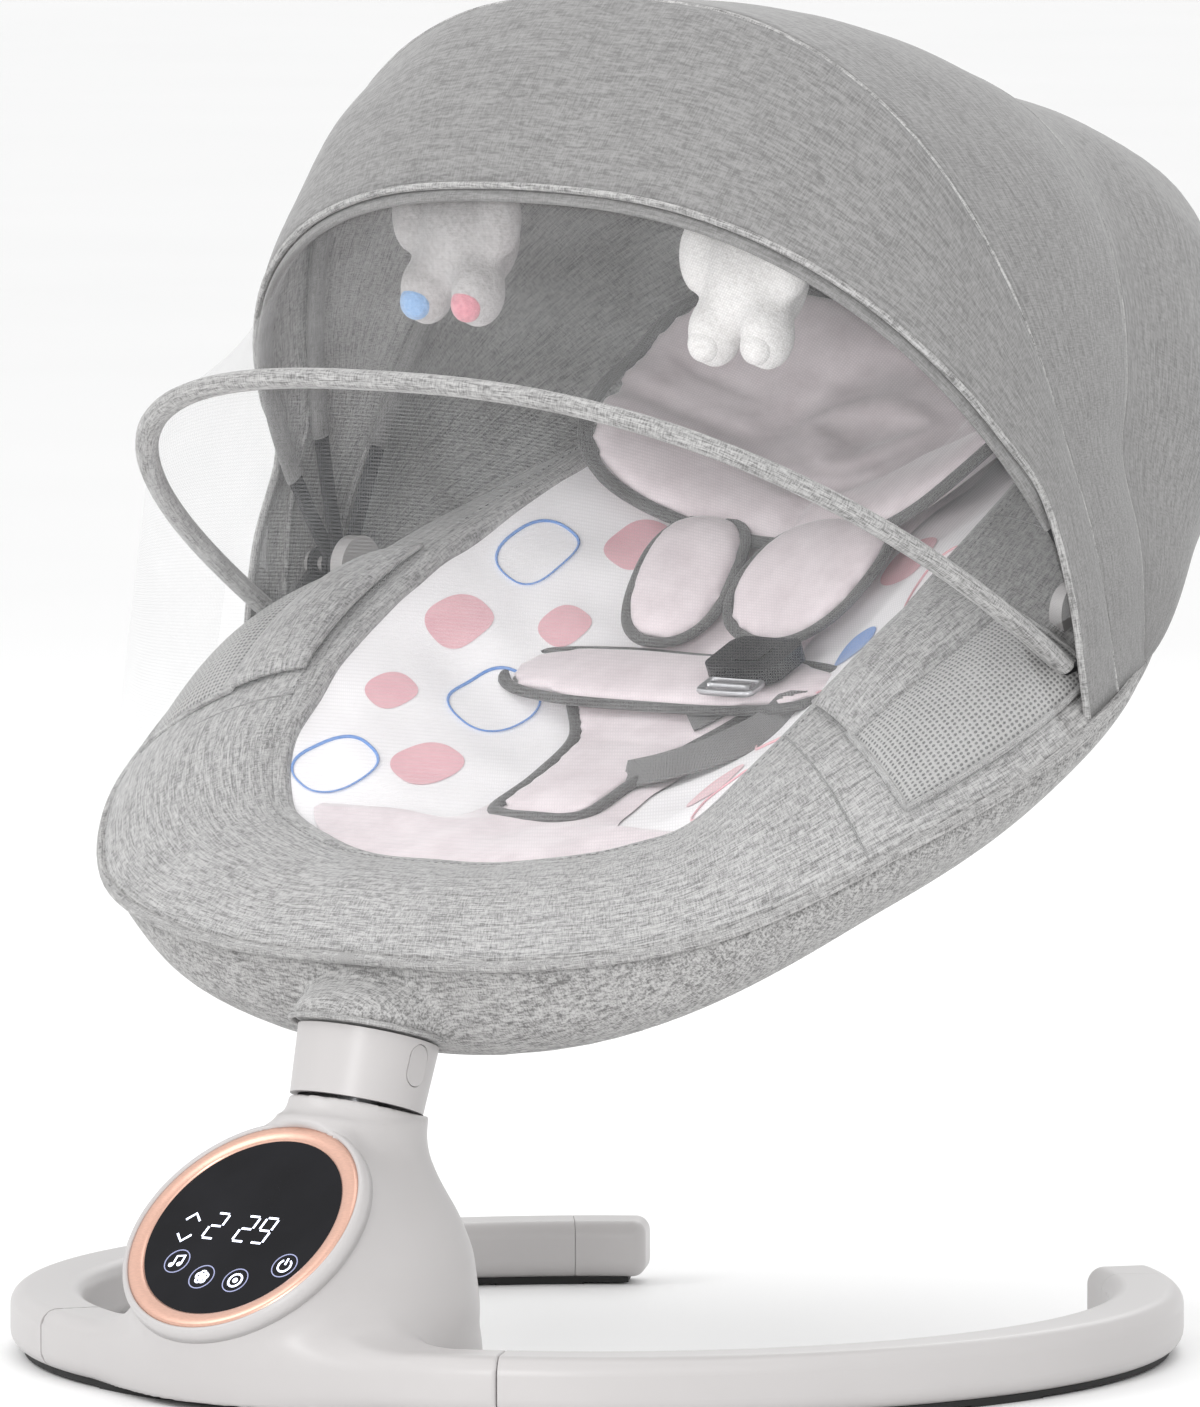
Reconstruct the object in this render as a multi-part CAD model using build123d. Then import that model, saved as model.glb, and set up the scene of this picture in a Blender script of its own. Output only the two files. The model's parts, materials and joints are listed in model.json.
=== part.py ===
from build123d import *
import os
from math import atan, cos, degrees, pi, radians, sin, sqrt

# ---------------------------------------------------------------------------
# Baby swing.  Millimetres, +Z up, +Y towards the head end, -Y the display.
# The parts are drawn about the centre of the base ring on the floor and are
# moved along Y when written, so that the origin is the middle of the footprint.
# ---------------------------------------------------------------------------

# Base ring
ring_radius = 281.0
tube_width = 38.0
tube_height = 30.0
tube_floor = 4.0
tube_corner = 9.0
tube_wall = 6.0
housing_half_angle = 30.0
leg_end_angle = 138.0
cap_end_angle = 146.0
joint_gap_angle = 0.06
foot_height = 1.0

# Motor housing and neck
dome_centre_y = -218.0
dome_wall = 3.0
neck_tilt = 16.0
swing_gap_centre = (0, -190.0, 142.0)
neck_radius = 34.0
neck_wall = 4.0
shaft_radius = 10.0
running_clearance = 0.05

# Display
display_centre = (0, -278.0, 90.0)
display_radius = 65.0
bezel_width = 9.5
bezel_depth = 5.0

# Seat
rim_pitch = 23.7
rim_centre = (0, 51.0, 331.0)
rim_outline = [(100, -258), (191, -224), (245, -160), (277, -70), (281, 0),
               (262, 70), (206, 170), (134, 290), (72, 356)]
rim_foot = -264.0
rim_head = 387.0
frame_tube_radius = 8.0
shell_sections = [(0.98, -9, 0), (0.96, -18, 0), (0.88, -34, 0), (0.75, -48, 5), (0.5, -62, 20)]
well_floor = -46.0
opening_half_width = 165.0
opening_foot = -195.0
opening_head = 300.0
opening_slope = 0.1
opening_rise = 20.0

# Canopy and net
canopy_axis = (90.0, 385.0)
bow_power = 2.5
bow_thickness = 3.0
bow_width = 8.0
rear_bow = {"half_width": 244.0, "reach": 285.0, "tilt": -20.0}
mid_bow = {"half_width": 248.3, "reach": 312.0, "tilt": 15.0}
front_bow = {"half_width": 252.6, "reach": 259.0, "tilt": 36.0}
net_hoop = {"half_width": 262.5, "reach": 278.0, "tilt": 57.4}
net_hoop_root = (59.0, 356.0)
pivot_pin_radius = 4.0
panel_thickness = 1.5

# Toys
toy_x = 95.0

# Half of the length along Y, less the reach of the front: the move at export
footprint_shift = -39.83

swing_axis = Plane(origin=swing_gap_centre, x_dir=(1, 0, 0),
                   z_dir=(0, sin(radians(neck_tilt)), cos(radians(neck_tilt))))
rim = Plane(origin=rim_centre, x_dir=(1, 0, 0),
            z_dir=(0, -sin(radians(rim_pitch)), cos(radians(rim_pitch))))
display = Plane(origin=display_centre, x_dir=(1, 0, 0), z_dir=(0, -1, 1))
parts = {}


# --- small helpers ---------------------------------------------------------

def place(plane, shape):
    """Put a shape drawn about the global origin into a plane's own frame."""
    return plane.location * shape


def disc(radius, low, high):
    """Cylinder about the local Z axis between two heights."""
    return Pos(0, 0, (low + high) / 2) * Cylinder(radius, high - low)


def tube(outer, inner, low, high):
    """Hollow cylinder about the local Z axis."""
    return disc(outer, low, high) - disc(inner, low - 1, high + 1)


def block(x, y, z):
    """Box given by its ranges along X, Y and Z."""
    size = (x[1] - x[0], y[1] - y[0], z[1] - z[0])
    return Pos((x[0] + x[1]) / 2, (y[0] + y[1]) / 2, (z[0] + z[1]) / 2) * Box(*size)


def mirrored(shape):
    """The same shape on the other side of the YZ plane."""
    return mirror(shape, about=Plane.YZ)


def both_sides(shape):
    """A shape and its mirror image, as two separate solids."""
    return shape + mirrored(shape)


def superellipse(half_width, reach, power, angle):
    """Point of a superellipse at an angle given in radians."""
    c = cos(angle)
    s = sin(angle)
    x = half_width * (1 if c >= 0 else -1) * abs(c) ** (2 / power)
    y = reach * (1 if s >= 0 else -1) * abs(s) ** (2 / power)
    return x, y


# --- base ring ---------------------------------------------------------------

def ring_profile(width, height, corner, middle):
    """Rounded rectangle across the ring, standing at the ring's radius."""
    return Plane.XZ * (Pos(ring_radius, middle) * RectangleRounded(width, height, corner))


def ring_arc(profile, start, end):
    """Revolve a profile between two angles measured from the front of the ring."""
    solid = revolve(profile, Axis.Z, end - start)
    return Rot(0, 0, start - 90) * solid


def leg_outer(start, end):
    middle = tube_floor + tube_height / 2
    return ring_arc(ring_profile(tube_width, tube_height, tube_corner, middle), start, end)


def leg_bore(start, end, less=0.0):
    middle = tube_floor + tube_height / 2
    inset = 2 * (tube_wall + less)
    profile = ring_profile(tube_width - inset, tube_height - inset,
                           tube_corner - tube_wall - less, middle)
    return ring_arc(profile, start, end)


def screw_places():
    """Angles of the screws that hold each leg to its spigot."""
    return [angle * side for side in (1, -1) for angle in (34.0, 38.0)]


def at_angle(angle, shape, radius=ring_radius):
    """Move a shape drawn at the origin out to the ring, at an angle from its front."""
    return Rot(0, 0, angle - 90) * (Pos(radius, 0, 0) * shape)


screw_shank = 1.6
screw_head = 3.2
screw_head_top = 6.0
screw_tip = 14.0


def screw():
    return disc(screw_head, tube_floor - 1, screw_head_top) + disc(screw_shank, screw_head_top, screw_tip)


def screw_holes():
    holes = [at_angle(angle, disc(screw_head, 0, screw_head_top)
                      + disc(screw_shank, screw_head_top, screw_tip)) for angle in screw_places()]
    return holes


def cut_all(shape, tools):
    for tool in tools:
        shape -= tool
    return shape


spigot_start = 26.0
spigot_end = 41.0
cap_plug_angle = 134.0


def right_leg():
    start = housing_half_angle + joint_gap_angle
    leg = leg_outer(start, leg_end_angle - joint_gap_angle)
    leg -= leg_bore(start - 1, leg_end_angle + 1)
    return cut_all(leg, screw_holes())


def right_spigot():
    spigot = leg_bore(spigot_start, spigot_end, less=0.2)
    middle = tube_floor + tube_height / 2
    hollow = ring_arc(ring_profile(tube_width - 16, tube_height - 16, 3, middle),
                      spigot_start - 1, spigot_end + 1)
    return cut_all(spigot - hollow, screw_holes())


cap_hole_radius = 1.6


def right_end_cap():
    body = leg_outer(leg_end_angle, cap_end_angle)
    tip_face = body.faces().sort_by(Axis.X)[0]
    body = fillet(tip_face.edges(), 7.5)
    body += leg_bore(cap_plug_angle, leg_end_angle + 1, less=0.2)
    for step in range(4):
        hole = Plane.XZ * disc(cap_hole_radius, -6, 6)
        angle = leg_end_angle + 1.5 + 1.3 * step
        body -= at_angle(angle, Rot(0, 0, 90) * (Pos(0, 0, 11) * hole), ring_radius + tube_width / 2)
    return body


sole_width = 24.0


def sole(start, end):
    profile = Plane.XZ * (Pos(ring_radius, (foot_height + tube_floor) / 2)
                          * Rectangle(sole_width, tube_floor - foot_height))
    return cut_all(ring_arc(profile, start, end), screw_holes())


def rubber_feet():
    profile = Plane.XZ * (Pos(ring_radius, foot_height / 2) * Rectangle(sole_width, foot_height))
    middles = [side * angle for side in (1, -1) for angle in (14.0, 84.0, 134.0)]
    return Part() + [ring_arc(profile, middle - 5, middle + 5) for middle in middles]


# --- motor housing -----------------------------------------------------------

dome_sections = [(tube_floor, 94.0, 88.0, -222.0), (44.0, 90.0, 88.0, -222.0), (84.0, 68.0, 64.0, -212.0)]
neck_start = -26.0


def dome(inset, floor):
    """Loft from the wide oval base to the round neck."""
    sections = []
    for height, half_x, half_y, middle_y in dome_sections:
        level = max(height, floor) if height == tube_floor else height
        sections.append(Pos(0, middle_y, level) * Ellipse(half_x - inset, half_y - inset))
    top = Plane(origin=swing_axis.from_local_coords((0, 0, neck_start)), x_dir=(1, 0, 0),
                z_dir=swing_axis.z_dir)
    sections.append(top * Circle(neck_radius + 1.5 - inset))
    return loft(sections)


def pod(inset, depth):
    """Short drum behind the tilted display, cut off level with the housing's floor."""
    drum = place(display, disc(display_radius + 1 - inset, -depth, -bezel_depth - inset))
    below = block((-200, 200), (-400, 0), (-100, tube_floor))
    return drum - below


inlet_hole_radius = 8.0
inlet_centre = (0, -134.0, 22.0)


def inlet_solid(radius, start, end):
    x, y, z = inlet_centre
    return Pos(x, y + (start + end) / 2, z) * Rot(90, 0, 0) * Cylinder(radius, end - start)


glass_seat_radius = 53.0


def motor_housing():
    outer = leg_outer(-housing_half_angle, housing_half_angle) + dome(0, tube_floor) + pod(0, 66)
    inner = dome(dome_wall, tube_floor) + pod(dome_wall, 60)
    shell = outer - inner - block((-88, 88), (-300, -140), (0, tube_floor + 0.5))
    shell -= leg_bore(housing_half_angle - 9, housing_half_angle + 1)
    shell -= leg_bore(-housing_half_angle - 1, -housing_half_angle + 9)
    shell -= place(display, disc(glass_seat_radius, -30, 0))
    shell -= place(swing_axis, disc(neck_radius, neck_start, 20))
    shell -= place(swing_axis, disc(neck_radius - neck_wall, neck_start - 10, 20))
    shell -= inlet_solid(inlet_hole_radius, -20, 20)
    return shell


def bottom_plate():
    plate = extrude(Pos(0, -222, tube_floor) * Ellipse(90.5, 84.5), 2.5)
    return plate


def neck_lower():
    return place(swing_axis, tube(neck_radius, neck_radius - neck_wall, neck_start, -1.0))


def bearings():
    low = tube(neck_radius - neck_wall, shaft_radius + running_clearance, neck_start + 1, neck_start + 7)
    high = tube(neck_radius - neck_wall, shaft_radius + running_clearance, -9, -3)
    return place(swing_axis, low) + place(swing_axis, high)


rotor_level = -60.0
magnet_reach = 38.0


def drive_coil():
    coils = []
    for side in (1, -1):
        coil = Pos(side * magnet_reach, 0, 0) * tube(14, 6, rotor_level - 18, rotor_level - 11)
        coils.append(coil)
    bridge = block((-60, 60), (-12, 12), (rotor_level - 21, rotor_level - 18))
    carrier = bridge + coils[0] + coils[1]
    x, y, z = swing_axis.from_local_coords((0, 0, rotor_level - 21))
    post_top = block((-12, 12), (y - 8, y + 8), (tube_floor + 2.5, z + 1))
    return place(swing_axis, carrier) + (post_top - place(swing_axis, block((-90, 90), (-90, 90), (rotor_level - 21, 200))))


def main_board():
    board = block((-50, 50), (-202, -160), (tube_floor + 2.5, tube_floor + 4.1))
    chips = [block((x, x + 14), (-190, -172), (tube_floor + 4.1, tube_floor + 9)) for x in (-44, -30, 24)]
    return cut_all(board + chips[0] + chips[1] + chips[2], [drive_coil_clearance()])


def drive_coil_clearance():
    x, y, z = swing_axis.from_local_coords((0, 0, rotor_level - 21))
    return block((-13, 13), (y - 9, y + 9), (0, 40))


def speaker():
    cone = disc(22, tube_floor + 2.5, tube_floor + 10) + disc(14, tube_floor + 10, tube_floor + 16)
    return Pos(0, -262, 0) * cone


def dc_inlet():
    jack = inlet_solid(inlet_hole_radius, -8, 6.5)
    return jack - inlet_solid(2.8, -3, 10)


# --- display -----------------------------------------------------------------

def display_bezel():
    ring = tube(display_radius, display_radius - bezel_width, -bezel_depth, 0)
    outer_edge = ring.edges().filter_by(GeomType.CIRCLE).group_by(Axis.Z)[-1]
    return place(display, fillet(outer_edge, 1.2))


def display_glass():
    return place(display, disc(display_radius - bezel_width, -bezel_depth, -1.5))


def display_board():
    return place(display, disc(glass_seat_radius - 1, -bezel_depth - 6, -bezel_depth - 4))


# --- swinging neck -----------------------------------------------------------

neck_top = 36.0
web_low = 6.0
web_high = 10.0
guide_radius = 19.0
plug_radius = 16.0
button_level = 23.0
button_width = 13.0
button_height = 21.0
button_inner = 28.0
button_outer = 35.0
button_travel = 3.0


def button_solid(grow, inner, outer):
    shape = SlotOverall(button_height + 2 * grow, button_width + 2 * grow, rotation=90)
    across = Plane(origin=(inner, 0, button_level), x_dir=(0, 1, 0), z_dir=(1, 0, 0))
    return extrude(across * shape, outer - inner)


def neck_upper():
    wall = Cone(neck_radius, neck_radius + 2, neck_top - 1.0)
    body = Pos(0, 0, (neck_top + 1.0) / 2) * wall - disc(neck_radius - neck_wall, 0, neck_top + 1)
    body += tube(neck_radius - neck_wall + 0.5, shaft_radius, web_low, web_high)
    body += tube(guide_radius, plug_radius + 0.5, web_low, neck_top - 2)
    window = button_solid(0.4, button_inner - 2, button_outer + 5)
    return place(swing_axis, body - window - mirrored(window))


def swing_shaft():
    return place(swing_axis, disc(shaft_radius, rotor_level - 2, web_high + 1))


def rotor_arm():
    arm = block((-magnet_reach - 9, magnet_reach + 9), (-8, 8), (rotor_level, rotor_level + 5))
    arm += disc(15, rotor_level, rotor_level + 9)
    return place(swing_axis, arm - disc(shaft_radius, rotor_level - 5, rotor_level + 20))


def drive_magnets():
    magnet = Pos(magnet_reach, 0, 0) * disc(8, rotor_level - 5, rotor_level)
    return place(swing_axis, both_sides(magnet))


def release_button():
    cap = button_solid(0, button_inner, button_outer)
    return place(swing_axis, cap)


def release_spring():
    coil = Helix(pitch=2.0, height=7.0, radius=3.4)
    wire = sweep(Plane(origin=coil @ 0, z_dir=coil % 0) * Circle(0.5), path=coil)
    across = Plane(origin=(guide_radius + 1.0, 0, button_level), x_dir=(0, 1, 0), z_dir=(1, 0, 0))
    return place(swing_axis, place(across, wire))


# --- seat --------------------------------------------------------------------

def outline_face(half, foot, head, height, plane=None):
    """Closed smooth face through a right-hand half outline and its mirror image."""
    points = [(0, foot)] + half + [(0, head)] + [(-x, y) for x, y in reversed(half)]
    base = plane or rim
    level = Plane(origin=base.from_local_coords((0, 0, height)), x_dir=base.x_dir, z_dir=base.z_dir)
    return level * make_face(Spline(points, periodic=True))


def egg_face(scale, height, foot_inset=0.0):
    """Rim outline, scaled about a point near its foot end."""
    foot = rim_foot + foot_inset
    half = [(x * scale, foot + (y - rim_foot) * scale) for x, y in rim_outline]
    return outline_face(half, foot, foot + (rim_head - rim_foot) * scale, height)


def oval_half(half_width, low, high, power=2.6):
    middle = (low + high) / 2
    half_length = (high - low) / 2
    points = []
    for step in range(1, 8):
        x, y = superellipse(half_width, half_length, power, pi * (step / 8 - 0.5))
        points.append((x, middle + y))
    return points


def oval_face(half_width, low, high, height, plane=None):
    return outline_face(oval_half(half_width, low, high), low, high, height, plane)


def opening_plane():
    """Plane of the seat's upper edge, which rises from the foot to the head."""
    pitch = rim_pitch + degrees(atan(opening_slope))
    origin = rim.from_local_coords((0, opening_foot, opening_rise))
    return Plane(origin=origin, x_dir=(1, 0, 0), z_dir=(0, -sin(radians(pitch)), cos(radians(pitch))))


def opening_face(inset, lift=0.0):
    length = opening_head - opening_foot
    return oval_face(opening_half_width - inset, inset, length - inset, lift, opening_plane())


def bowl_space(clearance):
    """The room inside the seat, from the board up through the opening."""
    walls = (150 - clearance, -190 + clearance, 270 - clearance)
    floor = (124 - clearance, -176 + clearance, 190 - clearance)
    well = loft([oval_face(*floor, well_floor), oval_face(*walls, 2)], ruled=True)
    mouth = loft([oval_face(*walls, 2), opening_face(7 + clearance, 8.0)], ruled=True)
    return well + mouth


def seat_frame_tube():
    inset = (281.0 - frame_tube_radius) / 281.0
    half = [(x * inset, y * inset) for x, y in rim_outline]
    points = [(0, rim_foot * inset)] + half + [(0, rim_head * inset)]
    points += [(-x, y) for x, y in reversed(half)]
    path = rim.location * Spline(points, periodic=True)
    start = Plane(origin=path @ 0, z_dir=path % 0)
    return sweep(start * Circle(frame_tube_radius), path=path)


def above_rim():
    """Everything over the underside of the frame tube."""
    return place(rim, block((-400, 400), (-500, 500), (-9, 300)))


def foot_boss():
    """Padded cone over the top of the neck, running into the foot of the seat."""
    cone = Pos(0, 0, neck_top + 31.5) * Cone(neck_radius + 4, neck_radius + 16, 60)
    return place(swing_axis, cone) - above_rim()


def seat_shell():
    """Padded underside of the seat, with room for the cushion, the board and the socket."""
    outer = loft([egg_face(*section) for section in shell_sections]) + foot_boss()
    return outer - bowl_space(0) - seat_saucer() - seat_post()


def seat_board():
    low = oval_face(123.5, -175.5, 189.5, well_floor + 0.3)
    return extrude(low, 5.7) & bowl_space(0.4)


def seat_coaming():
    lower = egg_face(0.985, 9)
    outer = loft([lower, opening_face(0)], ruled=True)
    inner = loft([oval_face(150, -190, 270, 2), opening_face(7, 8.0)], ruled=True)
    return outer - inner


cushion_line = [(-186, -4), (-110, -26), (-20, -30), (60, -13), (120, 8), (262, 10)]
liner_rise = 8.0


def side_profile(points, half_width):
    """Extrude a side view, given along and above the rim plane, to both sides."""
    face = make_face(Polyline(points, close=True))
    side = Plane(origin=rim.origin, x_dir=rim.y_dir, z_dir=(1, 0, 0))
    return extrude(side * face, half_width, both=True)


def seat_cushion():
    points = cushion_line + [(266, well_floor + 6.4), (-186, well_floor + 6.4)]
    return side_profile(points, 145) & bowl_space(0.6)


def seat_liner():
    top = [(x, y + liner_rise) for x, y in reversed(cushion_line)]
    return side_profile(cushion_line + top, 145) & bowl_space(0.6)


def seat_plug():
    return place(swing_axis, disc(plug_radius, web_high + 2, neck_top + 0.5))


def seat_saucer():
    return place(swing_axis, disc(neck_radius + 2, neck_top + 0.5, neck_top + 8))


def seat_post():
    return place(swing_axis, disc(22, neck_top + 8, neck_top + 50)) - above_rim()


# --- pads and harness --------------------------------------------------------

def slab(sketch, low, high):
    """Flat pad lying parallel to the rim plane between two heights."""
    level = Plane(origin=rim.from_local_coords((0, 0, low)), x_dir=rim.x_dir, z_dir=rim.z_dir)
    return extrude(level * sketch, high - low)


def head_pillow():
    return slab(Pos(0, 196) * RectangleRounded(276, 134, 48), 18.6, 46) & bowl_space(1.0)


def body_insert():
    wing = slab(Pos(43, 93) * RectangleRounded(78, 66, 28), 17, 30)
    return both_sides(wing)


waist_line = 14.0


def waist_pad():
    return slab(Pos(0, waist_line) * RectangleRounded(208, 44, 16), -1.5, 10.5)


def crotch_pad():
    outline = make_face(Polyline([(-28, -112), (28, -112), (66, 14), (-66, 14)], close=True))
    return slab(fillet(outline.vertices(), 12), -14.2, -6)


def waist_belt():
    return slab(Pos(0, waist_line) * Rectangle(262, 25), 11, 13) & bowl_space(1.0)


def crotch_strap():
    strap = slab(Pos(30, -44) * RectangleRounded(120, 66, 24), -5.5, -3)
    hollow = slab(Pos(30, -44) * RectangleRounded(72, 18, 8), -6, 0)
    return strap - hollow


def buckle_body():
    body = slab(Pos(58, waist_line) * RectangleRounded(46, 34, 8), 13.5, 22.5)
    return body - slab(Pos(58, waist_line) * RectangleRounded(19, 19, 4), 15.5, 30)


def buckle_button():
    return slab(Pos(58, waist_line) * RectangleRounded(18.2, 18.2, 3.6), 18, 23.5)


pocket_rise = 3.0


def mesh_pocket():
    """Curved mesh sheet over the outside of the seat's side."""
    rows = []
    for along in (-150, -110, -70, -30):
        row = []
        for step in range(5):
            part = step / 4
            outer_x = rim_half_width(along) * 0.96
            inner_x = 160 - 0.0006 * along * along
            x = outer_x + (inner_x - outer_x) * (0.12 + 0.62 * part)
            height = 9 + (coaming_height(along) - 9) * (0.12 + 0.62 * part)
            row.append(rim.from_local_coords((x, along, height + 9 + pocket_rise * sin(pi * part))))
        rows.append(row)
    return Solid.thicken(Face.make_surface_from_array_of_points(rows), 1.2)


def coaming_height(along):
    return opening_rise + opening_slope * (along - opening_foot)


def rim_half_width(along):
    reach = -rim_foot if along < 0 else rim_head
    return 281.0 * (1 - abs(along / reach) ** 2.6) ** (1 / 2.6)


# --- canopy ------------------------------------------------------------------

def bow_point(bow, angle, lift=0.0, root=canopy_axis):
    """Point of a bow's centre line; lift moves it outwards in the bow's own plane."""
    x, q = superellipse(bow["half_width"] + lift, bow["reach"] + lift, bow_power, angle)
    tilt = radians(bow["tilt"])
    return Vector(x, root[0] - q * sin(tilt), root[1] + q * cos(tilt))


def bow_face(bow, inset, root):
    """Half disc under a bow, in the plane of the bow."""
    tilt = radians(bow["tilt"])
    plane = Plane(origin=(0, root[0], root[1]), x_dir=(1, 0, 0), z_dir=(0, -cos(tilt), -sin(tilt)))
    points = []
    for step in range(13):
        x, q = superellipse(bow["half_width"] - inset, bow["reach"] - inset, bow_power, pi * step / 12)
        points.append((x, q))
    curve = Spline(points)
    face = make_face(Curve() + [curve, Line(points[-1], points[0])])
    return plane, face


def hoop(bow, root=canopy_axis):
    """Flat strip bent along a superellipse."""
    plane, outer = bow_face(bow, -bow_thickness / 2, root)
    plane, inner = bow_face(bow, bow_thickness / 2, root)
    strip = extrude(outer, bow_width / 2, both=True)
    strip -= extrude(inner, bow_width, both=True)
    return place(plane, strip)


eye_radius = 9.0


def pivot_disc(radius, low, high, centre=canopy_axis):
    return Pos((low + high) / 2, centre[0], centre[1]) * Rot(0, 90, 0) * Cylinder(radius, high - low)


def canopy_bow(bow):
    middle = bow["half_width"]
    half = bow_thickness / 2
    body = hoop(bow)
    for side in (1, -1):
        ends = sorted((side * (middle - half), side * (middle + half)))
        body += pivot_disc(eye_radius, ends[0], ends[1])
    return body - pivot_disc(pivot_pin_radius + running_clearance, -300, 300)


def net_bow():
    body = hoop(net_hoop, net_hoop_root)
    half = bow_thickness / 2
    middle = net_hoop["half_width"]
    for side in (1, -1):
        ends = sorted((side * (middle - half), side * (middle + half)))
        lug = pivot_disc(eye_radius, ends[0], ends[1])
        lug += pivot_disc(bow_width / 2, ends[0], ends[1], net_hoop_root)
        reach = sqrt((canopy_axis[0] - net_hoop_root[0]) ** 2 + (canopy_axis[1] - net_hoop_root[1]) ** 2)
        rise = degrees(atan((canopy_axis[1] - net_hoop_root[1]) / (canopy_axis[0] - net_hoop_root[0])))
        middle_y = (canopy_axis[0] + net_hoop_root[0]) / 2
        middle_z = (canopy_axis[1] + net_hoop_root[1]) / 2
        bar = Pos((ends[0] + ends[1]) / 2, middle_y, middle_z) * Rot(rise, 0, 0)
        lug += bar * Box(bow_thickness, reach, bow_width)
        body += lug
    return body - pivot_disc(pivot_pin_radius + running_clearance, -300, 300)


bracket_outer = 242.0
bracket_thickness = 8.0


def bracket_solid(grow=0.0):
    inner = bracket_outer - bracket_thickness - grow
    plate = pivot_disc(16 + grow, inner, bracket_outer + grow)
    foot = rim.from_local_coords((0, 57, 22))
    leg = Pos((inner + bracket_outer + grow) / 2, foot.Y, foot.Z) * Rot(rim_pitch, 0, 0)
    return plate + leg * Box(bracket_thickness + 2 * grow, 30 + 2 * grow, 28)


def canopy_brackets():
    return both_sides(bracket_solid())


def canopy_pins():
    pin = pivot_disc(pivot_pin_radius, bracket_outer, net_hoop["half_width"] + 2.2)
    pin += pivot_disc(7.0, net_hoop["half_width"] + 2.2, net_hoop["half_width"] + 5.2)
    return both_sides(pin)


def sheet_between(curve_a, curve_b, bulge, rows=5, columns=13, margin=0.055, skew=1.0):
    """Curved cloth between two curves, each a function of 0..1, bulging outwards."""
    middle = Vector(0, canopy_axis[0], canopy_axis[1])
    grid = []
    for row in range(rows):
        across = row / (rows - 1)
        line = []
        for column in range(columns):
            along = margin + (1 - 2 * margin) * column / (columns - 1)
            start = curve_a(along)
            end = curve_b(along)
            point = start + (end - start) * across
            outward = (point - middle).normalized()
            lift = bulge * sin(pi * across ** skew) * sin(pi * along)
            line.append(point + outward * lift)
        grid.append(line)
    return Solid.thicken(Face.make_surface_from_array_of_points(grid), panel_thickness)


cloth_lift = 6.0


def over_bow(bow, root=canopy_axis, shift=0.0):
    """Line just outside a bow, turned about the pivot by a small shift in degrees."""
    moved = dict(bow, tilt=bow["tilt"] + shift)
    return lambda along: bow_point(moved, pi * along, cloth_lift, root)


def head_rim_line(along):
    """Line along the head end of the seat, from the right pivot round to the left."""
    angle = pi * along
    x, y = superellipse(238.0, 300.0, 1.9, angle)
    return rim.from_local_coords((x, 70 + y, 24.0))


def canopy_panel_rear():
    return sheet_between(over_bow(rear_bow, shift=-1.5), head_rim_line, 52, rows=7, skew=1.4)


def canopy_panel_mid():
    return sheet_between(over_bow(mid_bow, shift=-1.5), over_bow(rear_bow, shift=0.5), 8)


def canopy_panel_front():
    return sheet_between(over_bow(front_bow), over_bow(mid_bow, shift=0.5), 6)


def net_upper():
    return sheet_between(over_bow(net_hoop, net_hoop_root), over_bow(front_bow, shift=2.0), 4)


def foot_rim_line(along):
    angle = pi * along
    x, y = superellipse(270.0, 262.0, 2.4, angle)
    return rim.from_local_coords((x, -y, 18.0))


def net_lower():
    return sheet_between(foot_rim_line, over_bow(net_hoop, net_hoop_root, 2.5), 0, margin=0.12)


# --- toys --------------------------------------------------------------------

def toy_hang_point():
    best = min(range(200), key=lambda i: abs(bow_point(mid_bow, pi * i / 400).X - toy_x))
    return bow_point(mid_bow, pi * best / 400)


ring_wire = 1.0
ring_loop = 5.0


def toy_eyelet():
    point = toy_hang_point()
    loop = Rot(0, 90, 0) * Torus(ring_loop, ring_wire)
    return Pos(point.X, point.Y, point.Z - bow_thickness - ring_loop - 1.0) * loop


def toy_pivot():
    point = toy_hang_point()
    return (point.X, point.Y, point.Z - bow_thickness - 2 * ring_loop - 1.0)


def toy():
    x, y, z = toy_pivot()
    loop = Pos(x, y, z - ring_loop + 2.35) * Rot(90, 0, 0) * Torus(ring_loop, ring_wire)
    strap = Pos(x, y, z - 22) * Box(6, 2, 28)
    head = Pos(x, y, z - 56) * Sphere(24)
    body = Pos(x, y, z - 102) * Sphere(30)
    limbs = [Pos(x + dx, y + dy, z - dz) * Sphere(11) for dx, dy, dz in
             ((-26, -8, 84), (26, -8, 84), (-18, -14, 128), (18, -14, 128))]
    ears = [Pos(x + dx, y, z - 30) * Sphere(9) for dx in (-16, 16)]
    return loop + strap + head + body + limbs[0] + limbs[1] + limbs[2] + limbs[3] + ears[0] + ears[1]


# --- every node --------------------------------------------------------------

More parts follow.
